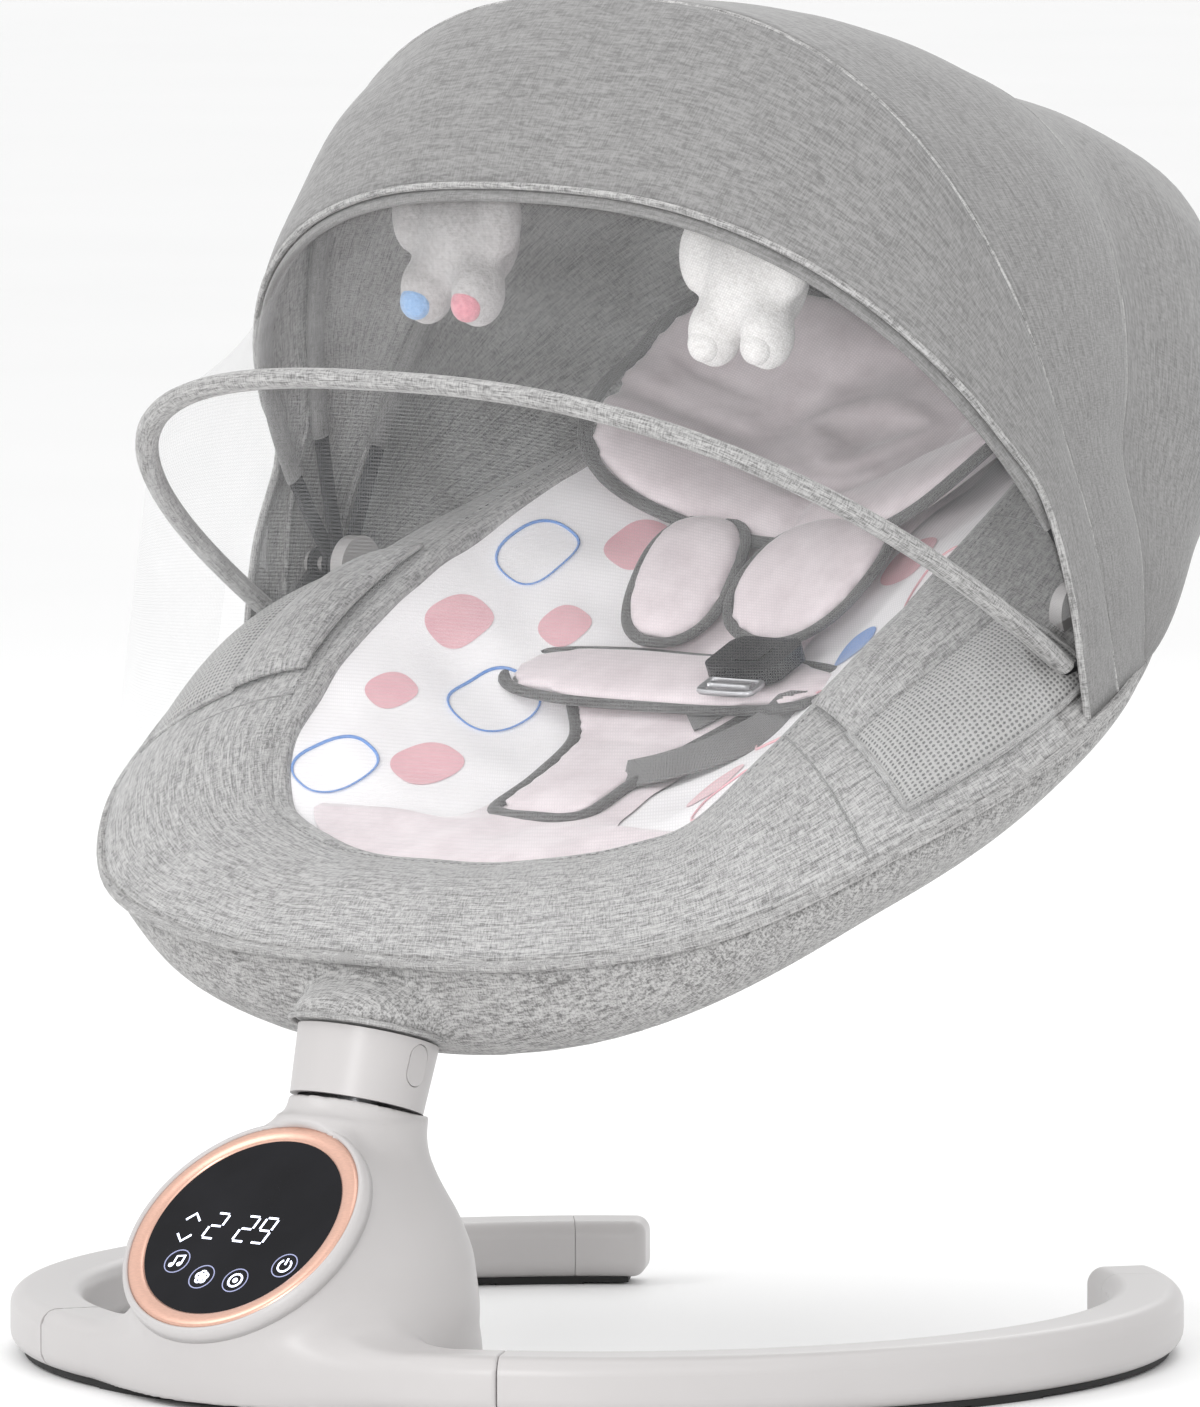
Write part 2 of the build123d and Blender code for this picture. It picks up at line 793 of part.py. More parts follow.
def build():
    parts["motor_housing"] = motor_housing()
    parts["housing_bottom_plate"] = bottom_plate()
    parts["display_bezel"] = display_bezel()
    parts["display_glass"] = display_glass()
    parts["display_board"] = display_board()
    parts["main_board"] = main_board()
    parts["speaker"] = speaker()
    parts["drive_coil"] = drive_coil()
    parts["neck_lower"] = neck_lower()
    parts["neck_bearings"] = bearings()
    parts["dc_inlet"] = dc_inlet()
    parts["right_leg"] = right_leg()
    parts["left_leg"] = mirrored(parts["right_leg"])
    parts["leg_spigots"] = both_sides(right_spigot())
    parts["right_end_cap"] = right_end_cap()
    parts["left_end_cap"] = mirrored(parts["right_end_cap"])
    parts["front_sole"] = sole(-housing_half_angle, housing_half_angle)
    parts["side_soles"] = both_sides(sole(housing_half_angle + joint_gap_angle, cap_end_angle - 2))
    parts["rubber_feet"] = rubber_feet()
    parts["leg_screws"] = Part() + [at_angle(angle, screw()) for angle in screw_places()]
    parts["neck_upper"] = neck_upper()
    parts["swing_shaft"] = swing_shaft()
    parts["rotor_arm"] = rotor_arm()
    parts["drive_magnets"] = drive_magnets()
    parts["release_button_right"] = release_button()
    parts["release_button_left"] = mirrored(parts["release_button_right"])
    parts["release_spring_right"] = release_spring()
    parts["release_spring_left"] = mirrored(parts["release_spring_right"])
    parts["seat_plug"] = seat_plug()
    parts["seat_saucer"] = seat_saucer()
    parts["seat_post"] = seat_post()
    parts["seat_frame_tube"] = seat_frame_tube()
    parts["seat_shell"] = seat_shell()
    parts["seat_board"] = seat_board()
    parts["canopy_brackets"] = canopy_brackets()
    coaming = seat_coaming() - bracket_solid(0.3) - mirrored(bracket_solid(0.3))
    parts["seat_coaming"] = coaming
    parts["seat_cushion"] = seat_cushion()
    parts["seat_liner"] = seat_liner()
    parts["head_pillow"] = head_pillow()
    parts["body_insert"] = body_insert()
    parts["waist_pad"] = waist_pad()
    parts["crotch_pad"] = crotch_pad()
    parts["waist_belt"] = waist_belt()
    parts["crotch_strap"] = crotch_strap()
    parts["buckle_body"] = buckle_body()
    parts["buckle_button"] = buckle_button()
    parts["mesh_pocket_right"] = mesh_pocket()
    parts["mesh_pocket_left"] = mirrored(parts["mesh_pocket_right"])
    parts["canopy_pins"] = canopy_pins()
    parts["canopy_bow_rear"] = canopy_bow(rear_bow)
    parts["canopy_bow_mid"] = canopy_bow(mid_bow)
    parts["canopy_bow_front"] = canopy_bow(front_bow)
    parts["net_bow"] = net_bow()
    parts["canopy_panel_rear"] = canopy_panel_rear()
    parts["canopy_panel_mid"] = canopy_panel_mid()
    parts["canopy_panel_front"] = canopy_panel_front()
    parts["net_upper"] = net_upper()
    parts["net_lower"] = net_lower()
    parts["toy_eyelets"] = both_sides(toy_eyelet())
    parts["toy_right"] = toy()
    parts["toy_left"] = mirrored(parts["toy_right"])


def main():
    os.makedirs("parts", exist_ok=True)
    build()
    for name, shape in parts.items():
        export_step(Pos(0, footprint_shift, 0) * shape, f"parts/{name}.step")
    print(len(parts), "nodes")


main()
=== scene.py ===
import bmesh
import bpy
import json
import math

import numpy as np
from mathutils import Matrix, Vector, noise


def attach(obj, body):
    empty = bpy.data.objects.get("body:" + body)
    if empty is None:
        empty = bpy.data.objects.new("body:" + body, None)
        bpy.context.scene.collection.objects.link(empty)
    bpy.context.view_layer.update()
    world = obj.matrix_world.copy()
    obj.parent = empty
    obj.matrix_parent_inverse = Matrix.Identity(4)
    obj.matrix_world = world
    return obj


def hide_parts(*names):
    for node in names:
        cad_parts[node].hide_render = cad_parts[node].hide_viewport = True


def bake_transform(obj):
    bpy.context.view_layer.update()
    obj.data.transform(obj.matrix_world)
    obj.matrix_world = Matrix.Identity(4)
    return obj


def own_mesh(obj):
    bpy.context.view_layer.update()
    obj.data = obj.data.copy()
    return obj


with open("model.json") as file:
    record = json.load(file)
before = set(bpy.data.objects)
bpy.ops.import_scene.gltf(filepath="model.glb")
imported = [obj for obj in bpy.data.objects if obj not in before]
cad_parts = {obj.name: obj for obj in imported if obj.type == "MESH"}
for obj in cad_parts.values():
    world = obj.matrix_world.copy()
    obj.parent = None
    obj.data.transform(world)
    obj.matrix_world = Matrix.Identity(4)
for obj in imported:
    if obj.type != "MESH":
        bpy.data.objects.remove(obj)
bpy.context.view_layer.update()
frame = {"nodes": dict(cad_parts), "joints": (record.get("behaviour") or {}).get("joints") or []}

# Lengths below are millimetres about the centre of the base ring on the floor, as the object is
# drawn, and at() turns them into the frame's metres.
MM = 0.001
JOINTS = {joint["name"]: joint for joint in frame["joints"]}
SWING_FROM_RING = np.array([0.0, -190.0, 142.0])
RING_CENTRE = np.array(JOINTS["swing"]["pos_m"]) / MM - SWING_FROM_RING

RING_RADIUS = 281.0
NECK_TILT = math.radians(16.0)
RIM_PITCH = math.radians(23.7)
RIM_CENTRE = np.array([0.0, 51.0, 331.0])
CANOPY_AXIS = np.array([0.0, 90.0, 385.0])
DISPLAY_CENTRE = np.array([0.0, -278.0, 90.0])

UP = np.array([0.0, 0.0, 1.0])
RIGHT = np.array([1.0, 0.0, 0.0])
NECK_UP = np.array([0.0, math.sin(NECK_TILT), math.cos(NECK_TILT)])
RIM_ALONG = np.array([0.0, math.cos(RIM_PITCH), math.sin(RIM_PITCH)])
RIM_UP = np.array([0.0, -math.sin(RIM_PITCH), math.cos(RIM_PITCH)])
DISPLAY_OUT = np.array([0.0, -1.0, 1.0]) / math.sqrt(2)
DISPLAY_UP = np.array([0.0, 1.0, 1.0]) / math.sqrt(2)


def at(points):
    """Millimetres about the ring's centre to metres in the frame."""
    return (np.asarray(points, dtype=float) + RING_CENTRE) * MM


def rim_frame(x, along, height):
    """Point given across, along and above the tilted plane of the seat's rim."""
    x, along, height = np.broadcast_arrays(x, along, height)
    return (RIM_CENTRE + x[..., None] * RIGHT + along[..., None] * RIM_ALONG
            + height[..., None] * RIM_UP)


def unit(vectors):
    length = np.linalg.norm(vectors, axis=-1, keepdims=True)
    return vectors / np.maximum(length, 1e-9)


# --- curves ------------------------------------------------------------------

def smooth_curve(points, count, closed=False):
    """Catmull-Rom curve through given points, read at equal steps of length."""
    points = np.asarray(points, dtype=float)
    if closed:
        before, after, last = np.roll(points, 1, 0), np.roll(points, -1, 0), np.roll(points, -2, 0)
    else:
        ends = np.vstack([2 * points[0] - points[1], points, 2 * points[-1] - points[-2]])
        before, points, after, last = ends[:-3], ends[1:-2], ends[2:-1], ends[3:]
    t = np.linspace(0, 1, 24, endpoint=False)[None, :, None]
    p0, p1, p2, p3 = (p[:, None, :] for p in (before, points, after, last))
    dense = 0.5 * (2 * p1 + (p2 - p0) * t + (2 * p0 - 5 * p1 + 4 * p2 - p3) * t ** 2
                   + (3 * p1 - p0 - 3 * p2 + p3) * t ** 3)
    dense = dense.reshape(-1, points.shape[1])
    dense = np.vstack([dense, dense[:1] if closed else after[-1:]])
    return equal_steps(dense, count, closed)


def equal_steps(dense, count, closed=False):
    """The same line with its points evenly spaced."""
    length = np.concatenate([[0], np.cumsum(np.linalg.norm(np.diff(dense, axis=0), axis=1))])
    want = np.linspace(0, length[-1], count, endpoint=not closed)
    return np.stack([np.interp(want, length, dense[:, i]) for i in range(dense.shape[1])], axis=1)


def smoothstep(x):
    x = np.clip(x, 0, 1)
    return x * x * (3 - 2 * x)


# --- mesh building -----------------------------------------------------------

def new_object(name, verts, faces, uvs=None, smooth=True):
    """Mesh object from millimetre points; uvs are one pair for each vertex, in metres."""
    mesh = bpy.data.meshes.new(name)
    mesh.from_pydata([tuple(v) for v in at(verts)], [], [tuple(int(i) for i in f) for f in faces])
    if uvs is not None:
        layer = mesh.uv_layers.new(name="cloth")
        loops = np.zeros(len(mesh.loops), dtype=np.int32)
        mesh.loops.foreach_get("vertex_index", loops)
        layer.data.foreach_set("uv", np.asarray(uvs, dtype=np.float32)[loops].ravel())
    mesh.validate()
    if smooth:
        mesh.shade_smooth()
    obj = bpy.data.objects.new(name, mesh)
    bpy.context.scene.collection.objects.link(obj)
    return obj


def grid_faces(rows, columns, closed_rows=False, closed_columns=False, flip=False):
    r = np.arange(rows if closed_rows else rows - 1)
    c = np.arange(columns if closed_columns else columns - 1)
    r, c = np.meshgrid(r, c, indexing="ij")
    r2, c2 = (r + 1) % rows, (c + 1) % columns
    quads = np.stack([r * columns + c, r * columns + c2, r2 * columns + c2, r2 * columns + c], axis=-1)
    quads = quads.reshape(-1, 4)
    return quads[:, ::-1] if flip else quads


def grid_uv(grid):
    """Cloth coordinates in metres that follow the lengths of the grid's rows and columns."""
    along = np.linalg.norm(np.diff(grid, axis=1), axis=2).mean(axis=0)
    across = np.linalg.norm(np.diff(grid, axis=0), axis=2).mean(axis=1)
    u = np.concatenate([[0], np.cumsum(along)]) * MM
    v = np.concatenate([[0], np.cumsum(across)]) * MM
    return np.stack(np.meshgrid(u, v), axis=-1).reshape(-1, 2)


def sheet_object(name, grid, closed=False, flip=False, thickness=0.0):
    """Surface through a grid of points [row, column]; closed joins the last column to the first."""
    rows, columns = grid.shape[:2]
    if closed:
        grid = np.concatenate([grid, grid[:, :1]], axis=1)
        columns += 1
    faces = grid_faces(rows, columns, flip=flip)
    obj = new_object(name, grid.reshape(-1, 3), faces, grid_uv(grid))
    if closed:
        merge_close(obj)
    if thickness:
        thicken = obj.modifiers.new("thickness", "SOLIDIFY")
        thicken.thickness = thickness * MM
        thicken.offset = -1.0
    return obj


def merge_close(obj, distance=0.00002):
    work = bmesh.new()
    work.from_mesh(obj.data)
    bmesh.ops.remove_doubles(work, verts=work.verts, dist=distance)
    work.to_mesh(obj.data)
    work.free()


def frames_along(line, closed=False):
    """Tangent and two cross directions at each point, turning as little as possible."""
    if closed:
        tangent = unit(np.roll(line, -1, 0) - np.roll(line, 1, 0))
    else:
        tangent = unit(np.gradient(line, axis=0))
    side = np.zeros_like(line)
    start = np.cross(tangent[0], UP)
    if np.linalg.norm(start) < 0.1:
        start = np.cross(tangent[0], RIGHT)
    side[0] = unit(start)
    for i in range(1, len(line)):
        flat = side[i - 1] - tangent[i] * np.dot(side[i - 1], tangent[i])
        side[i] = unit(flat)
    if closed:
        last = side[-1] - tangent[0] * np.dot(side[-1], tangent[0])
        other = np.cross(tangent[0], side[0])
        twist = math.atan2(np.dot(last, other), np.dot(last, side[0]))
        for i in range(len(line)):
            angle = -twist * i / len(line)
            lift = np.cross(tangent[i], side[i])
            side[i] = side[i] * math.cos(angle) + lift * math.sin(angle)
    return tangent, side, np.cross(tangent, side)


def tube_object(name, line, radius, closed=False, segments=12, flatten=1.0, lift=None):
    """Round tube along a line; flatten squeezes it across lift, the direction it stands up in."""
    line = np.asarray(line, dtype=float)
    tangent, side, other = frames_along(line, closed)
    if lift is not None:
        lift = np.broadcast_to(lift, line.shape)
        other = unit(lift - tangent * (lift * tangent).sum(1, keepdims=True))
        side = np.cross(other, tangent)
    turn = np.linspace(0, 2 * math.pi, segments, endpoint=False)
    across, upright = np.cos(turn)[None, :, None], flatten * np.sin(turn)[None, :, None]
    ring = across * side[:, None] + upright * other[:, None]
    radius = np.broadcast_to(radius, (len(line),))[:, None, None]
    verts = (line[:, None] + ring * radius).reshape(-1, 3)
    faces = [tuple(f) for f in grid_faces(len(line), segments, closed_rows=closed, closed_columns=True)]
    length = np.concatenate([[0], np.cumsum(np.linalg.norm(np.diff(line, axis=0), axis=1))]) * MM
    around = turn * float(np.mean(radius)) * MM
    uvs = np.stack(np.meshgrid(around, length), axis=-1)[..., ::-1].reshape(-1, 2)
    if not closed:
        faces.append(tuple(range(segments)))
        faces.append(tuple(range(len(verts) - 1, len(verts) - 1 - segments, -1)))
    return new_object(name, verts, faces, uvs)


def strap_object(name, line, normals, width, thickness):
    """Flat webbing along a line, lying square to its normals."""
    line = np.asarray(line, dtype=float)
    tangent = unit(np.gradient(line, axis=0))
    normals = unit(np.broadcast_to(normals, line.shape))
    across = unit(np.cross(tangent, normals))
    up = np.cross(across, tangent)
    outline = [(-1, -0.55), (-0.93, -1), (0.93, -1), (1, -0.55), (1, 0.55), (0.93, 1), (-0.93, 1), (-1, 0.55)]
    ring = np.stack([across * (x * width / 2) + up * (y * thickness / 2) for x, y in outline], axis=1)
    verts = (line[:, None] + ring).reshape(-1, 3)
    n = len(outline)
    faces = [tuple(f) for f in grid_faces(len(line), n, closed_columns=True)]
    faces += [tuple(range(n)), tuple(range(len(verts) - 1, len(verts) - 1 - n, -1))]
    length = np.concatenate([[0], np.cumsum(np.linalg.norm(np.diff(line, axis=0), axis=1))]) * MM
    over = np.array([x * width / 2 for x, y in outline]) * MM
    uvs = np.stack(np.meshgrid(over, length), axis=-1).reshape(-1, 2)
    return new_object(name, verts, faces, uvs, smooth=False)


def lathe_object(name, profile, origin, axis, across, count=96):
    """Turn a closed profile of (radius, height) pairs about an axis."""
    profile = np.asarray(profile, dtype=float)
    turn = np.linspace(0, 2 * math.pi, count, endpoint=False)
    third = np.cross(axis, across)
    spokes = np.cos(turn)[:, None] * across + np.sin(turn)[:, None] * third
    verts = (np.asarray(origin) + spokes[:, None] * profile[None, :, :1] + axis * profile[None, :, 1:])
    faces = grid_faces(count, len(profile), closed_rows=True, closed_columns=True, flip=True)
    return new_object(name, verts.reshape(-1, 3), faces)


def stitches(name, line, normals, length=3.0, gap=2.0, radius=0.35):
    """A row of short raised threads along a line."""
    line = np.asarray(line, dtype=float)
    normals = np.broadcast_to(normals, line.shape)
    total = np.linalg.norm(np.diff(line, axis=0), axis=1).sum()
    count = max(int(total / (length + gap)), 2)
    fine = equal_steps(line, count * 4 + 1)
    normal = unit(equal_steps_of(normals, line, count * 4 + 1))
    verts, faces = [], []
    for i in range(count):
        a, b = fine[4 * i], fine[4 * i + 2]
        along = unit(b - a)
        up = normal[4 * i + 1]
        side = np.cross(along, up)
        middle = (a + b) / 2
        half = np.linalg.norm(b - a) / 2
        base = len(verts)
        for end, scale in ((-1, 0.3), (-0.6, 1.0), (0.6, 1.0), (1, 0.3)):
            for x, y in ((-1, 0), (0, 1), (1, 0), (0, -1)):
                verts.append(middle + along * (end * half) + (side * x + up * y) * radius * scale)
        for k in range(3):
            for j in range(4):
                a0 = base + 4 * k + j
                a1 = base + 4 * k + (j + 1) % 4
                faces.append((a0, a1, a1 + 4, a0 + 4))
        faces.append((base + 3, base + 2, base + 1, base))
        faces.append((base + 12, base + 13, base + 14, base + 15))
    return new_object(name, np.array(verts), faces)


def equal_steps_of(values, line, count):
    """Values given along a line, read at equal steps of its length."""
    length = np.concatenate([[0], np.cumsum(np.linalg.norm(np.diff(line, axis=0), axis=1))])
    want = np.linspace(0, length[-1], count)
    return np.stack([np.interp(want, length, values[:, i]) for i in range(values.shape[1])], axis=1)


def subdivide(obj, levels=1):
    modifier = obj.modifiers.new("smooth", "SUBSURF")
    modifier.levels = levels
    modifier.render_levels = levels
    return obj


def apply_modifiers(obj):
    """Replace the mesh by what its modifiers make of it."""
    graph = bpy.context.evaluated_depsgraph_get()
    result = bpy.data.meshes.new_from_object(obj.evaluated_get(graph))
    obj.modifiers.clear()
    obj.data = result
    return obj


def paint(obj, material):
    obj.data.materials.clear()
    obj.data.materials.append(material)
    return obj


# --- shapes from a distance field --------------------------------------------

def surface_of(field, low, high, step, projections=3):
    """Closed mesh of the zero level of field(points), by surface nets, in millimetres."""
    axes = [np.arange(low[i], high[i] + step, step) for i in range(3)]
    shape = tuple(len(a) for a in axes)
    grid = np.stack(np.meshgrid(*axes, indexing="ij"), axis=-1)
    values = field(grid.reshape(-1, 3)).reshape(shape)
    offsets = [(i, j, k) for i in (0, 1) for j in (0, 1) for k in (0, 1)]
    cut = [values[i:shape[0] - 1 + i, j:shape[1] - 1 + j, k:shape[2] - 1 + k] for i, j, k in offsets]
    inside = sum((c < 0).astype(int) for c in cut)
    active = (inside > 0) & (inside < 8)
    cells = np.argwhere(active)
    number = -np.ones(active.shape, dtype=int)
    number[active] = np.arange(len(cells))
    corner = [c[active] for c in cut]
    total = np.zeros((len(cells), 3))
    hits = np.zeros(len(cells))
    for a in range(8):
        for b in range(a + 1, 8):
            if sum(x != y for x, y in zip(offsets[a], offsets[b])) != 1:
                continue
            crossing = (corner[a] < 0) != (corner[b] < 0)
            t = corner[a] / np.where(crossing, corner[a] - corner[b], 1.0)
            pa, pb = np.array(offsets[a], float), np.array(offsets[b], float)
            total[crossing] += pa + t[crossing, None] * (pb - pa)
            hits[crossing] += 1
    verts = np.array(low) + step * (cells + total / hits[:, None])
    for _ in range(projections):
        value = field(verts)
        slope = np.stack([field(verts + 0.4 * e) - field(verts - 0.4 * e) for e in np.eye(3)], axis=1) / 0.8
        size = np.maximum((slope ** 2).sum(1), 0.2)
        verts = verts - np.clip(value / size, -step / 2, step / 2)[:, None] * slope
    faces = []
    for d in range(3):
        e, f = (d + 1) % 3, (d + 2) % 3
        first = np.take(values, range(shape[d] - 1), axis=d) < 0
        second = np.take(values, range(1, shape[d]), axis=d) < 0
        for way, flip in ((first & ~second, False), (~first & second, True)):
            at_edge = np.argwhere(way)
            keep = (at_edge[:, e] > 0) & (at_edge[:, f] > 0)
            keep &= (at_edge[:, e] < shape[e] - 1) & (at_edge[:, f] < shape[f] - 1)
            at_edge = at_edge[keep]
            quad = []
            for de, df in ((-1, -1), (0, -1), (0, 0), (-1, 0)):
                cell = at_edge.copy()
                cell[:, e] += de
                cell[:, f] += df
                quad.append(number[cell[:, 0], cell[:, 1], cell[:, 2]])
            quad = np.stack(quad, axis=1)
            faces.append(quad[:, ::-1] if flip else quad)
    return verts, np.concatenate(faces)


def smooth_union(a, b, reach):
    blend = np.clip(0.5 + 0.5 * (b - a) / reach, 0, 1)
    return b + (a - b) * blend - reach * blend * (1 - blend)


def rounded_box(q, half, corner):
    """Distance to a rounded rectangle or box, for points q about its centre."""
    away = np.abs(q) - (np.array(half) - corner)
    return np.linalg.norm(np.maximum(away, 0), axis=-1) + np.minimum(away.max(axis=-1), 0) - corner


# --- materials ---------------------------------------------------------------

class Nodes:
    """Short hand for building a material's node tree."""

    def __init__(self, name):
        self.material = bpy.data.materials.new(name)
        self.material.use_nodes = True
        self.tree = self.material.node_tree
        self.shader = self.tree.nodes["Principled BSDF"]

    def add(self, kind, **settings):
        node = self.tree.nodes.new(kind)
        for key, value in settings.items():
            setattr(node, key, value)
        return node

    def link(self, source, target):
        self.tree.links.new(source, target)

    def set(self, **values):
        for key, value in values.items():
            self.shader.inputs[key.replace("_", " ")].default_value = value

    def coordinates(self, kind="UV", scale=(1, 1, 1)):
        source = self.add("ShaderNodeTexCoord")
        mapping = self.add("ShaderNodeMapping")
        mapping.inputs["Scale"].default_value = scale
        self.link(source.outputs[kind], mapping.inputs["Vector"])
        return mapping.outputs["Vector"]

    def noise(self, vector, scale, detail=3.0, roughness=0.5):
        node = self.add("ShaderNodeTexNoise")
        node.inputs["Scale"].default_value = scale
        node.inputs["Detail"].default_value = detail
        node.inputs["Roughness"].default_value = roughness
        self.link(vector, node.inputs["Vector"])
        return node.outputs["Fac"]

    def ramp(self, value, stops):
        node = self.add("ShaderNodeValToRGB")
        ramp = node.color_ramp
        while len(ramp.elements) < len(stops):
            ramp.elements.new(0.5)
        for element, (place, colour) in zip(ramp.elements, stops):
            element.position = place
            element.color = (*colour, 1.0)
        self.link(value, node.inputs["Fac"])
        return node.outputs["Color"]

    def math(self, operation, a, b=None, clamp=False):
        node = self.add("ShaderNodeMath", operation=operation, use_clamp=clamp)
        for i, value in enumerate((a, b)):
            if value is None:
                continue
            if isinstance(value, (int, float)):
                node.inputs[i].default_value = value
            else:
                self.link(value, node.inputs[i])
        return node.outputs[0]

    def mix(self, factor, a, b, blend="MIX"):
        node = self.add("ShaderNodeMix", data_type="RGBA", blend_type=blend)
        for socket, value in zip((node.inputs[0], node.inputs[6], node.inputs[7]), (factor, a, b)):
            if isinstance(value, (int, float)):
                socket.default_value = value
            elif isinstance(value, tuple):
                socket.default_value = (*value, 1.0)
            else:
                self.link(value, socket)
        return node.outputs[2]

    def bump(self, height, strength, distance=0.001):
        node = self.add("ShaderNodeBump")
        node.inputs["Strength"].default_value = strength
        node.inputs["Distance"].default_value = distance
        self.link(height, node.inputs["Height"])
        self.link(node.outputs["Normal"], self.shader.inputs["Normal"])


def moulded_plastic(name, colour, roughness=0.34, grain=0.05):
    """Satin moulded plastic: fine grain and faint cloudiness in colour and gloss."""
    n = Nodes(name)
    place = n.coordinates("Object")
    cloud = n.noise(place, 9.0, 4.0)
    dark = tuple(c * 0.955 for c in colour)
    n.link(n.ramp(cloud, [(0.3, dark), (0.7, colour)]), n.shader.inputs["Base Color"])
    fine = n.noise(place, 1600.0, 2.0)
    rough = n.math("MULTIPLY_ADD", cloud, 0.10)
    rough.node.inputs[2].default_value = roughness - 0.05
    n.link(rough, n.shader.inputs["Roughness"])
    n.bump(fine, grain, 0.0002)
    n.set(Specular_IOR_Level=0.45)
    return n.material


def heather(name, light=(0.50, 0.495, 0.49), dark=(0.135, 0.133, 0.132), kind="UV", slub=0.8):
    """Melange weave: long thin threads of mixed greys both ways, with slubs and a light nap."""
    n = Nodes(name)
    place = n.coordinates(kind)
    warp = n.noise(n.coordinates(kind, (190 * slub, 1500 * slub, 900)), 1.0, 2.0, 0.6)
    weft = n.noise(n.coordinates(kind, (1500 * slub, 260 * slub, 700)), 1.0, 2.0, 0.6)
    long_slub = n.noise(n.coordinates(kind, (48 * slub, 620 * slub, 300)), 1.0, 1.0)
    threads = n.math("ADD", n.math("MULTIPLY", warp, 0.55), n.math("MULTIPLY", weft, 0.45))
    threads = n.math("ADD", n.math("MULTIPLY", threads, 0.78), n.math("MULTIPLY", long_slub, 0.22))
    cloud = n.noise(place, 14.0, 3.0)
    middle = tuple((a + b) / 2 for a, b in zip(light, dark))
    colour = n.ramp(threads, [(0.40, dark), (0.49, middle), (0.585, light)])
    colour = n.mix(n.math("MULTIPLY", cloud, 0.22), colour, middle)
    n.link(colour, n.shader.inputs["Base Color"])
    n.bump(threads, 0.55, 0.0006)
    n.set(Roughness=0.92, Sheen_Weight=0.25, Sheen_Roughness=0.5, Specular_IOR_Level=0.2)
    return n.material


def velvet(name, colour, shade):
    """Short pile with crushed patches that catch the light differently."""
    n = Nodes(name)
    place = n.coordinates("Object")
    crush = n.noise(place, 46.0, 4.0, 0.62)
    fine = n.noise(place, 1100.0, 2.0)
    both = n.math("ADD", n.math("MULTIPLY", crush, 0.8), n.math("MULTIPLY", fine, 0.2))
    n.link(n.ramp(both, [(0.34, shade), (0.62, colour)]), n.shader.inputs["Base Color"])
    n.bump(both, 0.35, 0.0012)
    n.set(Roughness=0.85, Sheen_Weight=0.7, Sheen_Roughness=0.35, Specular_IOR_Level=0.25)
    return n.material


def webbing(name, colour):
    """Ribbed narrow webbing: ribs across the strap and a fine twill along it."""
    n = Nodes(name)
    wave = n.add("ShaderNodeTexWave", wave_type="BANDS", bands_direction="Y")
    wave.inputs["Scale"].default_value = 420.0
    wave.inputs["Distortion"].default_value = 0.6
    n.link(n.coordinates("UV"), wave.inputs["Vector"])
    threads = n.noise(n.coordinates("UV", (1400, 350, 1)), 1.0, 2.0)
    both = n.math("ADD", n.math("MULTIPLY", wave.outputs["Fac"], 0.6), n.math("MULTIPLY", threads, 0.4))
    dark = tuple(c * 0.55 for c in colour)
    n.link(n.ramp(both, [(0.2, dark), (0.75, colour)]), n.shader.inputs["Base Color"])
    n.bump(both, 0.8, 0.0008)
    n.set(Roughness=0.8, Sheen_Weight=0.15)
    return n.material


def mesh_cloth(name, colour, hole_shade):
    """Knitted spacer mesh: rows of small holes in a lighter knit, the holes painted dark as painted shade."""
    n = Nodes(name)
    cells = n.add("ShaderNodeTexVoronoi", feature="F1", distance="EUCLIDEAN")
    cells.inputs["Scale"].default_value = 1.0
    cells.inputs["Randomness"].default_value = 0.18
    n.link(n.coordinates("UV", (300, 420, 1)), cells.inputs["Vector"])
    threads = n.noise(n.coordinates("UV", (1600, 1600, 1)), 1.0, 1.0)
    depth = n.math("SUBTRACT", cells.outputs["Distance"], n.math("MULTIPLY", threads, 0.12))
    # painted shade: the holes, where the bump is lowest, get the dark colour that stands in for the shade
    # behind the knit
    n.link(n.ramp(depth, [(0.16, hole_shade), (0.34, colour)]), n.shader.inputs["Base Color"])
    n.bump(depth, 0.7, 0.0012)
    n.set(Roughness=0.85, Sheen_Weight=0.2)
    return n.material


def sheer_net(name, colour, cover):
    """Insect net: a fine square mesh that lets most of the light through."""
    n = Nodes(name)
    lines = []
    for direction in ("X", "Y"):
        wave = n.add("ShaderNodeTexWave", wave_type="BANDS", bands_direction=direction)
        wave.inputs["Scale"].default_value = 230.0
        n.link(n.coordinates("UV"), wave.inputs["Vector"])
        lines.append(wave.outputs["Fac"])
    thread = n.math("MAXIMUM", lines[0], lines[1])
    cloud = n.noise(n.coordinates("UV", (30, 30, 1)), 1.0, 2.0)
    alpha = n.math("ADD", n.math("MULTIPLY", thread, 0.16), n.math("MULTIPLY", cloud, 0.10))
    alpha = n.math("ADD", alpha, cover - 0.13, clamp=True)
    n.link(alpha, n.shader.inputs["Alpha"])
    shade = tuple(c * 0.9 for c in colour)
    n.link(n.ramp(cloud, [(0.3, shade), (0.7, colour)]), n.shader.inputs["Base Color"])
    n.set(Roughness=0.8, Sheen_Weight=0.2, Specular_IOR_Level=0.2)
    return n.material


def metal_lacquer(name, colour):
    """Satin metal with a fine turned grain."""
    n = Nodes(name)
    grain = n.noise(n.coordinates("Object", (300, 2400, 2400)), 1.0, 2.0)
    dark = tuple(c * 0.86 for c in colour)
    n.link(n.ramp(grain, [(0.3, dark), (0.7, colour)]), n.shader.inputs["Base Color"])
    rough = n.math("MULTIPLY_ADD", grain, 0.12)
    rough.node.inputs[2].default_value = 0.26
    n.link(rough, n.shader.inputs["Roughness"])
    n.set(Metallic=0.75)
    return n.material


